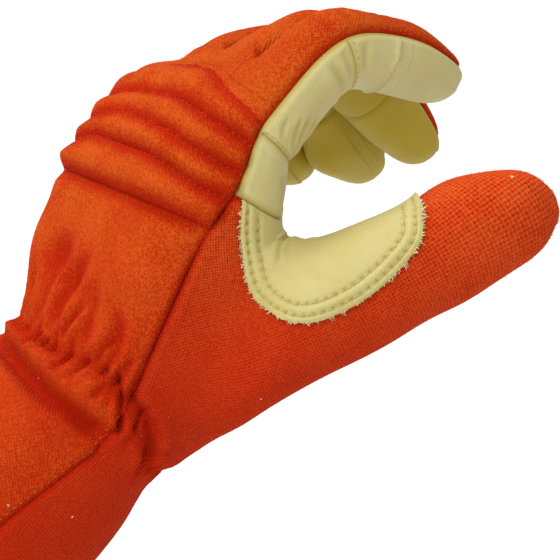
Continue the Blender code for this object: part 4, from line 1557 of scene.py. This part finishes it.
class Panel:
    """One sewn panel, cut from the shaped surface and given its thickness."""

    def __init__(self, surface: bmesh.types.BMesh, name: str) -> None:
        """Cuts the panel from the surface and draws it back from its seams.

        Args:
            surface: the shaped outer surface of the glove.
            name: the panel's name.
        """
        self.name = name
        self.bm = surface.copy()
        self.outward = self.bm.verts.layers.float_vector["outward"]
        index = PANELS.index(name)
        others = [face for face in self.bm.faces if face.material_index != index]
        bmesh.ops.delete(self.bm, geom=others, context="FACES")
        moves = {vertex: self._inward(vertex) for vertex in self.bm.verts if vertex.is_boundary}
        for vertex, move in moves.items():
            vertex.co += move * SEAM_GAP / 2 * MM

    @staticmethod
    def _inward(vertex: bmesh.types.BMVert) -> Vector:
        """The direction along the surface from an edge vertex into the panel."""
        centres = [face.calc_center_median() for face in vertex.link_faces]
        away = sum(centres, Vector()) / len(centres) - vertex.co
        rim = [edge.other_vert(vertex).co - vertex.co for edge in vertex.link_edges if edge.is_boundary]
        along = (rim[0].normalized() - rim[1].normalized()) if len(rim) == 2 else Vector()
        if along.length > 0.5:
            away -= away.project(along)
        return away.normalized()

    def thicken(self, thickness: float) -> None:
        """Closes the panel into a wall by extruding it against its outward directions.

        Args:
            thickness: the wall's thickness.
        """
        made = bmesh.ops.extrude_face_region(self.bm, geom=list(self.bm.faces), use_keep_orig=True)["geom"]
        for vertex in made:
            if isinstance(vertex, bmesh.types.BMVert):
                vertex.co -= vertex[self.outward].normalized() * thickness * MM
        bmesh.ops.recalc_face_normals(self.bm, faces=self.bm.faces)

    def add(self, wardrobe: Wardrobe) -> bpy.types.Object:
        """Adds the panel in its cloth, in place of the solid of the same name.

        Args:
            wardrobe: the finishes.

        Returns:
            The new piece.
        """
        self.thicken(WALL)
        cloth = PANEL_CLOTH[self.name]
        piece = Piece.add(f"{self.name}_cloth", self.bm, wardrobe.materials[cloth], cloth)
        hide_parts(self.name)
        return piece


@dataclass
class ThumbPatch:
    """The leather patch sewn over the web of the thumb, with its two rows of stitches and its frayed edge.

    Lengths are in millimetres. The rows and the puffs between them are given by their distance from the
    edge, and tuck is the strip where the patch is thinned to run in under the palm's leather.
    """

    clearance: float = 0.3
    thickness: float = 1.3
    tuck: float = 7.0
    tucked_thickness: float = 0.2
    least_height: float = 0.3
    rows: tuple[float, float] = (2.1, 5.6)
    row_depth: float = 0.35
    row_width: float = 0.9
    row_shade: float = 0.2
    hole_depth: float = 0.7
    hole_width: float = 0.62
    hole_shade: float = 0.9
    edge_drop: float = 0.5
    edge_width: float = 0.6
    puffs: tuple[float, float] = (1.1, 3.85)
    puff_widths: tuple[float, float] = (0.7, 1.2)
    puff_height: float = 0.4
    crease_depth: float = 0.7
    crease_width: float = 0.55
    crease_shoulder: tuple[float, float, float] = (0.4, 1.5, 0.8)
    crease_shade: float = 0.8
    crease_shade_width: float = 0.5
    crease_run_out: float = 0.6
    base_shade: float = 0.2
    margin: float = 3.0
    steps: int = 40
    stretching: int = 30
    unevenness: float = 0.12
    reach: tuple[float, float] = (-65.0, 5.0)
    creases: tuple[ChartPath, ...] = (
        ((40.3, 40.1), (41.06, 40.5), (41.6, 40.78)),
        ((40.25, 40.06), (40.75, 40.35), (41.25, 40.69), (41.45, 40.82)),
        ((40.06, 40.31), (40.8, 40.65), (41.5, 41.03)),
        ((40.0, 40.62), (40.7, 40.95), (41.35, 41.27)),
        ((40.06, 41.19), (40.6, 41.4), (41.0, 41.56)),
    )

    def outline(self, inset: float = 0.0) -> np.ndarray:
        """The closed outline as a smooth curve, seen from the thumb side.

        Args:
            inset: how far inside the edge, in millimetres.

        Returns:
            Its points, with X and Z in millimetres.
        """
        points = np.array(PATCH_OUTLINE, float)
        before, after, beyond = (np.roll(points, shift, axis=0) for shift in (1, -1, -2))
        curve = []
        for t in np.linspace(0, 1, self.steps, endpoint=False):
            linear = after - before
            square = 2 * before - 5 * points + 4 * after - beyond
            cube = -before + 3 * points - 3 * after + beyond
            curve.append(0.5 * (2 * points + linear * t + square * t * t + cube * t**3))
        curve = np.stack(curve, axis=1).reshape(-1, 2)
        along = np.roll(curve, -1, axis=0) - np.roll(curve, 1, axis=0)
        along /= np.linalg.norm(along, axis=1)[:, None]
        inner = np.stack([-along[:, 1], along[:, 0]], axis=1)
        return curve + inner * inset

    def build(
        self, surface: bmesh.types.BMesh, wardrobe: Wardrobe, draws: random.Random, skin: Skin
    ) -> bpy.types.Object:
        """Builds the patch.

        Args:
            surface: the shaped outer surface of the glove.
            wardrobe: the finishes.
            draws: the seeded draws for its uneven edge.
            skin: the surface's chart.

        Returns:
            The patch.
        """
        panel = Panel(surface, "thumb_shell")
        self._trim(panel)
        self._lift(panel, skin)
        inner = [vertex for vertex in panel.bm.verts if not vertex.is_boundary]
        for _ in range(self.stretching):
            bmesh.ops.smooth_vert(
                panel.bm, verts=inner, factor=0.5, use_axis_x=True, use_axis_y=True, use_axis_z=True
            )
        tree = BVHTree.FromBMesh(panel.bm)
        self.row_lines = [self._on_surface(tree, self.outline(inset), 0.05) for inset in self.rows]
        self.edge_line = self._on_surface(tree, self.outline(0.0), 0.3)
        self._pucker(panel, skin)
        self.outer = BVHTree.FromBMesh(panel.bm)
        panel.thicken(self.thickness)
        return self._cut(panel, wardrobe, draws)

    def _trim(self, panel: Panel) -> None:
        """Drops what lies well outside the outline, and divides the rest once more.

        Args:
            panel: the piece of the surface that the patch is made from.
        """
        low = self.outline().min(0) - self.margin
        high = self.outline().max(0) + self.margin
        outside = []
        for face in panel.bm.faces:
            middle = face.calc_center_median() / MM
            if not (low[0] < middle.x < high[0] and low[1] < middle.z < high[1]):
                outside.append(face)
        bmesh.ops.delete(panel.bm, geom=outside, context="FACES")
        bmesh.ops.subdivide_edges(panel.bm, edges=panel.bm.edges, cuts=1, use_grid_fill=True)
        for vertex in panel.bm.verts:
            vertex[panel.outward] = vertex[panel.outward].normalized()

    def _lift(self, panel: Panel, skin: Skin) -> None:
        """Lays the leather over the cloth, and tucks it down where the palm's leather meets it.

        Args:
            panel: the piece of the surface that the patch is made from.
            skin: the surface's chart.
        """
        vertices = list(panel.bm.verts)
        heights = self._heights(np.array([vertex.co for vertex in vertices]), skin)
        for vertex, height in zip(vertices, heights.tolist()):
            vertex.co += vertex[panel.outward] * height * MM

    def _heights(self, places: np.ndarray, skin: Skin) -> np.ndarray:
        """How far the leather's outer side stands above the cloth, in millimetres.

        Args:
            places: points in metres.
            skin: the surface's chart.

        Returns:
            One height for each point.
        """
        border, _ = skin.line(((-2.0, GUSSET_LEVEL), (0.0, GUSSET_LEVEL), (1.0, GUSSET_LEVEL)))
        gaps = self._gaps(places, border * MM)
        thinned = (self.thickness - self.tucked_thickness) * (1 - soft(gaps / self.tuck))
        return self.clearance + self.thickness - thinned

    @staticmethod
    def _on_surface(tree: BVHTree, outline: np.ndarray, facing: float) -> np.ndarray:
        """Where an outline seen from the thumb side meets the surface.

        Args:
            tree: the surface.
            outline: points with X and Z in millimetres.
            facing: how squarely the surface has to face the thumb side, from 0 to 1.

        Returns:
            The places in metres, in one run without a break.
        """
        runs: list[list] = [[]]
        for x, z in np.concatenate([outline, outline]):
            place, normal, _, _ = tree.ray_cast(Vector((x * MM, -0.2, z * MM)), Vector((0, 1, 0)))
            if place is not None and -normal.y > facing:
                runs[-1].append(tuple(place))
            elif runs[-1]:
                runs.append([])
        return np.array(max(runs, key=len))

    def _pucker(self, panel: Panel, skin: Skin) -> None:
        """Sinks the two rows of stitches, rounds the edge and creases the leather at the web, and paints shade
        in the rows, the stitch holes and the creases, and a little over the whole patch.

        Args:
            panel: the leather's outer side.
            skin: the surface's chart.
        """
        bm, outward = panel.bm, panel.outward
        fold = bm.verts.layers.float["fold"]
        vertices = list(bm.verts)
        places = np.array([vertex.co for vertex in vertices])
        change = np.zeros(len(vertices))
        shade = np.zeros(len(vertices))
        for line in self.row_lines:
            gaps = self._gaps(places, line)
            row = np.exp(-((gaps / self.row_width) ** 2))
            gaps = self._gaps(places, Stitching.spaced(line, PATCH_STITCH.pitch, PATCH_STITCH.pitch / 2))
            holes = np.exp(-((gaps / self.hole_width) ** 2))
            change -= self.row_depth * row + self.hole_depth * holes
            shade = np.maximum(shade, np.maximum(self.row_shade * row, self.hole_shade * holes))
        edge = self._gaps(places, self.edge_line)
        change -= self.edge_drop * np.exp(-((edge / self.edge_width) ** 2))
        for middle, spread in zip(self.puffs, self.puff_widths):
            change += self.puff_height * np.exp(-(((edge - middle) / spread) ** 2))
        for path in self.creases:
            crease, outwards = skin.line(path)
            crease = crease + outwards * (self.clearance + self.thickness)
            gaps, share = self._nearest(places, crease * MM)
            taper = soft((1 - share) / self.crease_run_out)
            rise, middle, spread = self.crease_shoulder
            shoulder = rise * np.exp(-(((gaps - middle) / spread) ** 2))
            groove = np.exp(-((gaps / self.crease_width) ** 2)) - shoulder
            change -= self.crease_depth * taper * groove
            dark = np.exp(-((gaps / self.crease_shade_width) ** 2))
            shade = np.maximum(shade, self.crease_shade * taper * dark)
        change = np.maximum(change, self.least_height - self._heights(places, skin))
        # A little painted shade over the whole patch, which the lamps light strongly
        shade = np.maximum(shade, self.base_shade)
        for vertex, move, dark in zip(vertices, change.tolist(), shade.tolist()):
            vertex.co += vertex[outward] * move * MM
            vertex[fold] = dark

    @staticmethod
    def _nearest(places: np.ndarray, line: np.ndarray) -> tuple[np.ndarray, np.ndarray]:
        """Measures places against a line.

        Args:
            places: the places in metres.
            line: the line's points in metres.

        Returns:
            Their distances in millimetres, and how far along the line they are, from 0 to 1.
        """
        tree = KDTree(len(line))
        for i, place in enumerate(line):
            tree.insert(place, i)
        tree.balance()
        found = np.array([tree.find(place)[1:] for place in places])
        return found[:, 1] / MM, found[:, 0] / max(len(line) - 1, 1)

    def _gaps(self, places: np.ndarray, line: np.ndarray) -> np.ndarray:
        """The distance of each place from a line, both in metres, in millimetres."""
        return self._nearest(places, line)[0]

    def _cut(self, panel: Panel, wardrobe: Wardrobe, draws: random.Random) -> bpy.types.Object:
        """Cuts the thickened leather to its outline.

        Args:
            panel: the thickened leather.
            wardrobe: the finishes.
            draws: the seeded draws for its uneven edge.

        Returns:
            The patch.
        """
        leather = self._blank("leather", panel.bm)
        cutter = self._blank("cutter", self._prism(draws))
        cut = leather.modifiers.new("outline", "BOOLEAN")
        cut.operation = "INTERSECT"
        cut.object = cutter
        seen = leather.evaluated_get(bpy.context.evaluated_depsgraph_get())
        bm = bmesh.new()
        bm.from_mesh(seen.to_mesh())
        bpy.data.objects.remove(cutter)
        bpy.data.objects.remove(leather)
        piece = Piece.add("thumb_patch_leather", bm, wardrobe.materials[Cloth.LEATHER], Cloth.LEATHER)
        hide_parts("thumb_patch")
        return piece

    def _prism(self, draws: random.Random) -> bmesh.types.BMesh:
        """The outline, a little uneven, drawn out through the glove.

        Args:
            draws: the seeded draws for its uneven edge.

        Returns:
            A closed prism.
        """
        prism = bmesh.new()
        near, far = self.reach
        ring = []
        uneven = 0.0
        for x, z in self.outline():
            uneven = 0.6 * uneven + draws.uniform(-self.unevenness, self.unevenness)
            ring.append(prism.verts.new(((x + uneven) * MM, near * MM, (z + uneven) * MM)))
        face = prism.faces.new(ring)
        made = bmesh.ops.extrude_face_region(prism, geom=[face])["geom"]
        moved = [v for v in made if isinstance(v, bmesh.types.BMVert)]
        bmesh.ops.translate(prism, vec=(0, (far - near) * MM, 0), verts=moved)
        bmesh.ops.recalc_face_normals(prism, faces=prism.faces)
        return prism

    @staticmethod
    def _blank(name: str, bm: bmesh.types.BMesh) -> bpy.types.Object:
        """Makes a passing object of a bmesh, and frees it."""
        mesh = bpy.data.meshes.new(name)
        bm.to_mesh(mesh)
        bm.free()
        blank = bpy.data.objects.new(name, mesh)
        bpy.context.scene.collection.objects.link(blank)
        return blank


class Stitching:
    """Rows of small stitches laid on the surface."""

    # Furthest that the surface may be from a stitch, in millimetres, and the stitch's height by its width
    reach = 4.0
    height_share = 0.4
    raised_share = 0.12

    def __init__(self, name: str, material: bpy.types.Material, slot: Cloth) -> None:
        """Starts an empty row.

        Args:
            name: the piece's name.
            material: its finish.
            slot: the record's slot for its finish, passed on to the piece.
        """
        self.name = name
        self.material = material
        self.slot = slot
        self.bm = bmesh.new()

    @staticmethod
    def spaced(places: np.ndarray, pitch: float, ahead: float) -> np.ndarray:
        """Points at an even pitch along a line.

        Args:
            places: the line's points in metres.
            pitch: the pitch in millimetres.
            ahead: how far past each regular point, in millimetres.

        Returns:
            The points in metres.
        """
        steps = np.linalg.norm(np.diff(places, axis=0), axis=1)
        runs = np.concatenate([[0], np.cumsum(steps)]) / MM
        at = np.arange(pitch / 2, runs[-1] - pitch / 2, pitch) + ahead
        return np.stack([np.interp(at, runs, places[:, axis]) for axis in range(3)], axis=1)

    def run(self, places: np.ndarray, outer: BVHTree, stitch: Stitch) -> None:
        """Sews one row along a line.

        Args:
            places: the line's points in metres.
            outer: the surface that the stitches lie on.
            stitch: the kind of stitch.
        """
        pitch, length, width = stitch
        middles = self.spaced(places, pitch, 0.0)
        nexts = self.spaced(places, pitch, 0.8)
        for middle, ahead in zip(map(Vector, middles), map(Vector, nexts)):
            found, normal, _, gap = outer.find_nearest(middle)
            if found is None or gap > self.reach * MM:
                continue
            along = (ahead - middle).normalized()
            side = normal.cross(along).normalized()
            turn = Matrix((along, side, side.cross(along) * -1)).transposed().to_4x4()
            size = Matrix.Diagonal((length / 2 * MM, width / 2 * MM, width * self.height_share * MM, 1))
            place = Matrix.Translation(found + normal * width * self.raised_share * MM)
            bmesh.ops.create_uvsphere(self.bm, u_segments=8, v_segments=5, radius=1, matrix=place @ turn @ size)

    def add(self) -> bpy.types.Object:
        """Adds the rows as one piece."""
        bmesh.ops.recalc_face_normals(self.bm, faces=self.bm.faces)
        return Piece.add(self.name, self.bm, self.material, self.slot)


class Fibres:
    """Loose cotton or leather fibres that stand out of an edge or a surface."""

    tuft_size = 600

    def __init__(self, name: str, material: bpy.types.Material, slot: Cloth) -> None:
        """Starts an empty tuft.

        Args:
            name: the piece's name.
            material: its finish.
            slot: the record's slot for its finish, passed on to the piece.
        """
        self.name = name
        self.material = material
        self.slot = slot
        self.bm = bmesh.new()
        self.tuft = bmesh.new()

    def strand(self, place: Vector, direction: Vector, length: float, radius: float) -> None:
        """Adds one tapered strand.

        Args:
            place: its root in metres.
            direction: the way that it points.
            length: its length in millimetres.
            radius: its radius at the root in millimetres.
        """
        turn = direction.to_track_quat("Z", "Y").to_matrix().to_4x4()
        matrix = Matrix.Translation(place + direction.normalized() * length / 2 * MM) @ turn
        bmesh.ops.create_cone(
            self.tuft,
            cap_ends=True,
            segments=3,
            radius1=radius * MM,
            radius2=radius * 0.3 * MM,
            depth=length * MM,
            matrix=matrix,
        )
        if len(self.tuft.verts) > self.tuft_size:
            self._gather()

    def _gather(self) -> None:
        """Puts the latest strands with the others, which keeps each new one quick to make."""
        mesh = bpy.data.meshes.new("tuft")
        self.tuft.to_mesh(mesh)
        self.tuft.clear()
        self.bm.from_mesh(mesh)
        bpy.data.meshes.remove(mesh)

    def add(self) -> bpy.types.Object:
        """Adds the strands as one piece."""
        self._gather()
        self.tuft.free()
        return Piece.add(self.name, self.bm, self.material, self.slot)


@dataclass
class Glove:
    """The whole glove: its surface, panels, patch, stitches and loose fibres.

    Lengths and radii of fibres are ranges in millimetres. The frayed edge has one of fray_counts strands
    at each place, each made longer by one of fray_stretches.
    """

    seed: int = 7
    fluffs: int = 3500
    fluff_lean: float = 0.9
    fluff_length: tuple[float, float] = (0.5, 1.3)
    fluff_radius: tuple[float, float] = (0.03, 0.06)
    fray_counts: tuple[int, ...] = (0, 0, 1, 1, 2, 4)
    fray_length: tuple[float, float] = (0.35, 1.1)
    fray_stretches: tuple[float, ...] = (1.0, 1.0, 1.2, 2.0)
    fray_radius: tuple[float, float] = (0.12, 0.30)
    skin: Skin = field(default_factory=Skin)
    wardrobe: Wardrobe = field(default_factory=Wardrobe)
    effects: Effects = field(default_factory=Effects)

    def build(self) -> None:
        """Builds every piece in order."""
        draws = random.Random(self.seed)
        self.wardrobe.dress(self.effects)
        skin = self.skin
        skin.raise_ribs()
        for dent in DENTS:
            skin.dent(dent, True)
        for dent in SWELLS:
            skin.dent(dent, False)
        for stroke in FOLDS + LEATHER_FOLDS + KNUCKLE_FOLDS:
            skin.press(stroke)
        for valley in INNER_VALLEYS:
            skin.press(Stroke(valley, depth=0.5, width=0.9, shoulder=0.0, fade=0.02))
        skin.gather_wrist(draws)
        skin.sink_seams()
        # Painted shade on the leather of the fingers behind the index
        skin.paint_shade_between_fingers()
        surface = skin.shaped()
        for name in PANELS:
            Panel(surface, name).add(self.wardrobe)
        patch = ThumbPatch()
        patch.build(surface, self.wardrobe, draws, skin)
        outer = BVHTree.FromBMesh(surface)
        self._sew(outer, patch)
        self._fray(patch, draws)
        self._fluff(surface, draws)
        surface.free()

    def _sew(self, outer: BVHTree, patch: ThumbPatch) -> None:
        """Sews the patch, the ribs, the fingers and the cuff.

        Args:
            outer: the shaped outer surface.
            patch: the thumb patch, which has been built.
        """
        yellow = self.wardrobe.yellow_thread.material(self.effects)
        orange = self.wardrobe.orange_thread.material(self.effects)
        rows = Stitching("patch_stitches", yellow, Cloth.LEATHER)
        for line in patch.row_lines:
            rows.run(line, patch.outer, PATCH_STITCH)
        rows.add()
        self._sew_paths(Stitching("rib_stitches", orange, Cloth.BACK_KNIT), outer, {RIB_STITCH: INNER_VALLEYS})
        seams = {FINGER_STITCH: FINGER_SEAMS, WELT_STITCH: WELTS}
        self._sew_paths(Stitching("finger_stitches", yellow, Cloth.LEATHER), outer, seams)
        self._sew_paths(Stitching("cuff_stitches", orange, Cloth.BACK_KNIT), outer, {CUFF_STITCH: CUFF_SEAMS})

    def _sew_paths(self, rows: Stitching, outer: BVHTree, paths: dict[Stitch, tuple[ChartPath, ...]]) -> None:
        """Sews rows along chart paths and adds them as one piece.

        Args:
            rows: the piece that the stitches go into.
            outer: the shaped outer surface.
            paths: the paths of each kind of stitch.
        """
        for stitch, lines in paths.items():
            for path in lines:
                rows.run(self.skin.line(path)[0] * MM, outer, stitch)
        rows.add()

    def _fluff(self, surface: bmesh.types.BMesh, draws: random.Random) -> None:
        """Short cotton fibres standing out of the knit all over.

        Args:
            surface: the shaped outer surface.
            draws: the seeded draws.
        """
        vertices = list(surface.verts)
        finishes = {Cloth.BACK_KNIT: self.wardrobe.back_fibre, Cloth.SIDE_KNIT: self.wardrobe.side_fibre}
        for cloth, finish in finishes.items():
            numbers = {i for i, name in enumerate(PANELS) if PANEL_CLOTH[name] is cloth and name != "cuff_hem"}
            own = [vertex for vertex in vertices if vertex.link_faces[0].material_index in numbers]
            fluff = Fibres(f"{cloth.value}_fluff", finish.material(self.effects), cloth)
            for vertex in draws.sample(own, self.fluffs):
                lean = Vector([draws.uniform(-1, 1) for _ in range(3)]) * self.fluff_lean
                length, radius = draws.uniform(*self.fluff_length), draws.uniform(*self.fluff_radius)
                fluff.strand(vertex.co.copy(), vertex.normal + lean, length, radius)
            fluff.add()

    def _fray(self, patch: ThumbPatch, draws: random.Random) -> None:
        """Frays the patch's raw edge.

        Args:
            patch: the thumb patch, which has been built.
            draws: the seeded draws.
        """
        pale = self.wardrobe.leather_fibre.material(self.effects)
        edge = Fibres("patch_fray", pale, Cloth.LEATHER)
        line = patch.edge_line
        for i in range(1, len(line) - 1):
            along = Vector(line[i + 1] - line[i - 1]).normalized()
            _, normal, _, _ = patch.outer.find_nearest(Vector(line[i]))
            away = along.cross(normal).normalized()
            for _ in range(draws.choice(self.fray_counts)):
                lean = away + along * draws.uniform(-1.0, 1.0) + normal * draws.uniform(-0.2, 0.7)
                root = Vector(line[i]) - normal * draws.uniform(0.1, 1.2) * MM
                root -= away * draws.uniform(0.1, 0.5) * MM
                length = draws.uniform(*self.fray_length) * draws.choice(self.fray_stretches)
                edge.strand(root, lean.normalized(), length, draws.uniform(*self.fray_radius))
        edge.add()


@dataclass
class Studio:
    """A pale floor, soft light and the camera at the photograph's angle.

    The scale is in millimetres for each pixel, the distance and the centre of view in millimetres, and
    the floor in metres. The glow of the surroundings goes from below to above.
    """

    scale: float = 0.33
    distance: float = 520.0
    centre: tuple[float, float] = (64.35, 37.95)
    frame_size: int = 560
    sensor: float = 36.0
    floor_height: float = -0.16
    floor_radius: float = 6.0
    floor_glow: float = 0.6
    glow_above: float = 0.80
    glow_below: float = 0.31
    glow_heights: tuple[float, float] = (-0.6, 0.9)
    backdrop: float = 1.1

    def build(self) -> None:
        """Adds the world, the floor, the lights and the camera."""
        scene = bpy.context.scene
        scene.view_settings.view_transform = "Standard"
        world = bpy.data.worlds.new("studio")
        world.use_nodes = True
        graph = Graph(world.node_tree)
        background = world.node_tree.nodes["Background"]
        background.inputs["Color"].default_value = (1, 1, 1, 1)
        height = graph.node("ShaderNodeSeparateXYZ")
        graph.feed(height.inputs[0], graph.node("ShaderNodeTexCoord").outputs["Generated"])
        around = graph.ramp(height.outputs["Z"], *self.glow_heights)
        rise = graph.math("MULTIPLY", around, self.glow_above - self.glow_below)
        glow = graph.math("ADD", self.glow_below, rise)
        seen = graph.node("ShaderNodeLightPath").outputs["Is Camera Ray"]
        strength = graph.math("MAXIMUM", glow, graph.math("MULTIPLY", seen, self.backdrop))
        graph.feed(background.inputs["Strength"], strength)
        scene.world = world
        self._floor()
        self._light("key", (-0.5, -0.95, 0.8), 0.45, 8.5)
        self._light("top", (-0.5, 0.05, 1.25), 0.6, 9.0)
        self._camera()

    def _floor(self) -> None:
        """A large round pale floor below the glove."""
        bm = bmesh.new()
        bmesh.ops.create_circle(bm, cap_ends=True, segments=96, radius=self.floor_radius)
        bmesh.ops.translate(bm, vec=(0, 0, self.floor_height), verts=bm.verts)
        mesh = bpy.data.meshes.new("floor")
        bm.to_mesh(mesh)
        bm.free()
        pale = bpy.data.materials.new("floor")
        pale.use_nodes = True
        graph = Graph(pale.node_tree)
        shader = pale.node_tree.nodes["Principled BSDF"]
        shader.inputs["Base Color"].default_value = (0.8, 0.8, 0.8, 1)
        shader.inputs["Roughness"].default_value = 0.9
        shader.inputs["Emission Color"].default_value = (1, 1, 1, 1)
        seen = graph.node("ShaderNodeLightPath").outputs["Is Camera Ray"]
        graph.feed(shader.inputs["Emission Strength"], graph.math("MULTIPLY", seen, self.floor_glow))
        mesh.materials.append(pale)
        floor = bpy.data.objects.new("floor", mesh)
        bpy.context.scene.collection.objects.link(floor)

    def _light(self, name: str, place: tuple[float, float, float], size: float, power: float) -> None:
        """Adds one soft area light aimed at the glove.

        Args:
            name: its name.
            place: where it stands, in metres.
            size: its side in metres.
            power: its power in watts.
        """
        light = bpy.data.lights.new(name, "AREA")
        light.size = size
        light.energy = power
        lamp = bpy.data.objects.new(name, light)
        lamp.location = place
        aim = Vector((self.centre[0] * MM, -0.02, self.centre[1] * MM)) - Vector(place)
        lamp.rotation_euler = aim.to_track_quat("-Z", "Y").to_euler()
        bpy.context.scene.collection.objects.link(lamp)

    def _camera(self) -> None:
        """Adds the camera, level and looking along Y."""
        lens = bpy.data.cameras.new("camera")
        lens.sensor_width = self.sensor
        half_frame = self.frame_size / 2 * self.scale
        lens.lens = self.sensor / 2 / (half_frame / self.distance)
        lens.clip_start = 0.01
        camera = bpy.data.objects.new("camera", lens)
        camera.location = (self.centre[0] * MM, -self.distance * MM, self.centre[1] * MM)
        camera.rotation_euler = (math.radians(90), 0, 0)
        bpy.context.scene.collection.objects.link(camera)
        bpy.context.scene.camera = camera


def main() -> None:
    """Builds the studio and the glove."""
    logging.basicConfig(level=logging.INFO, format="%(name)s: %(message)s")
    Studio().build()
    Glove().build()


if __name__ == "__main__":
    main()
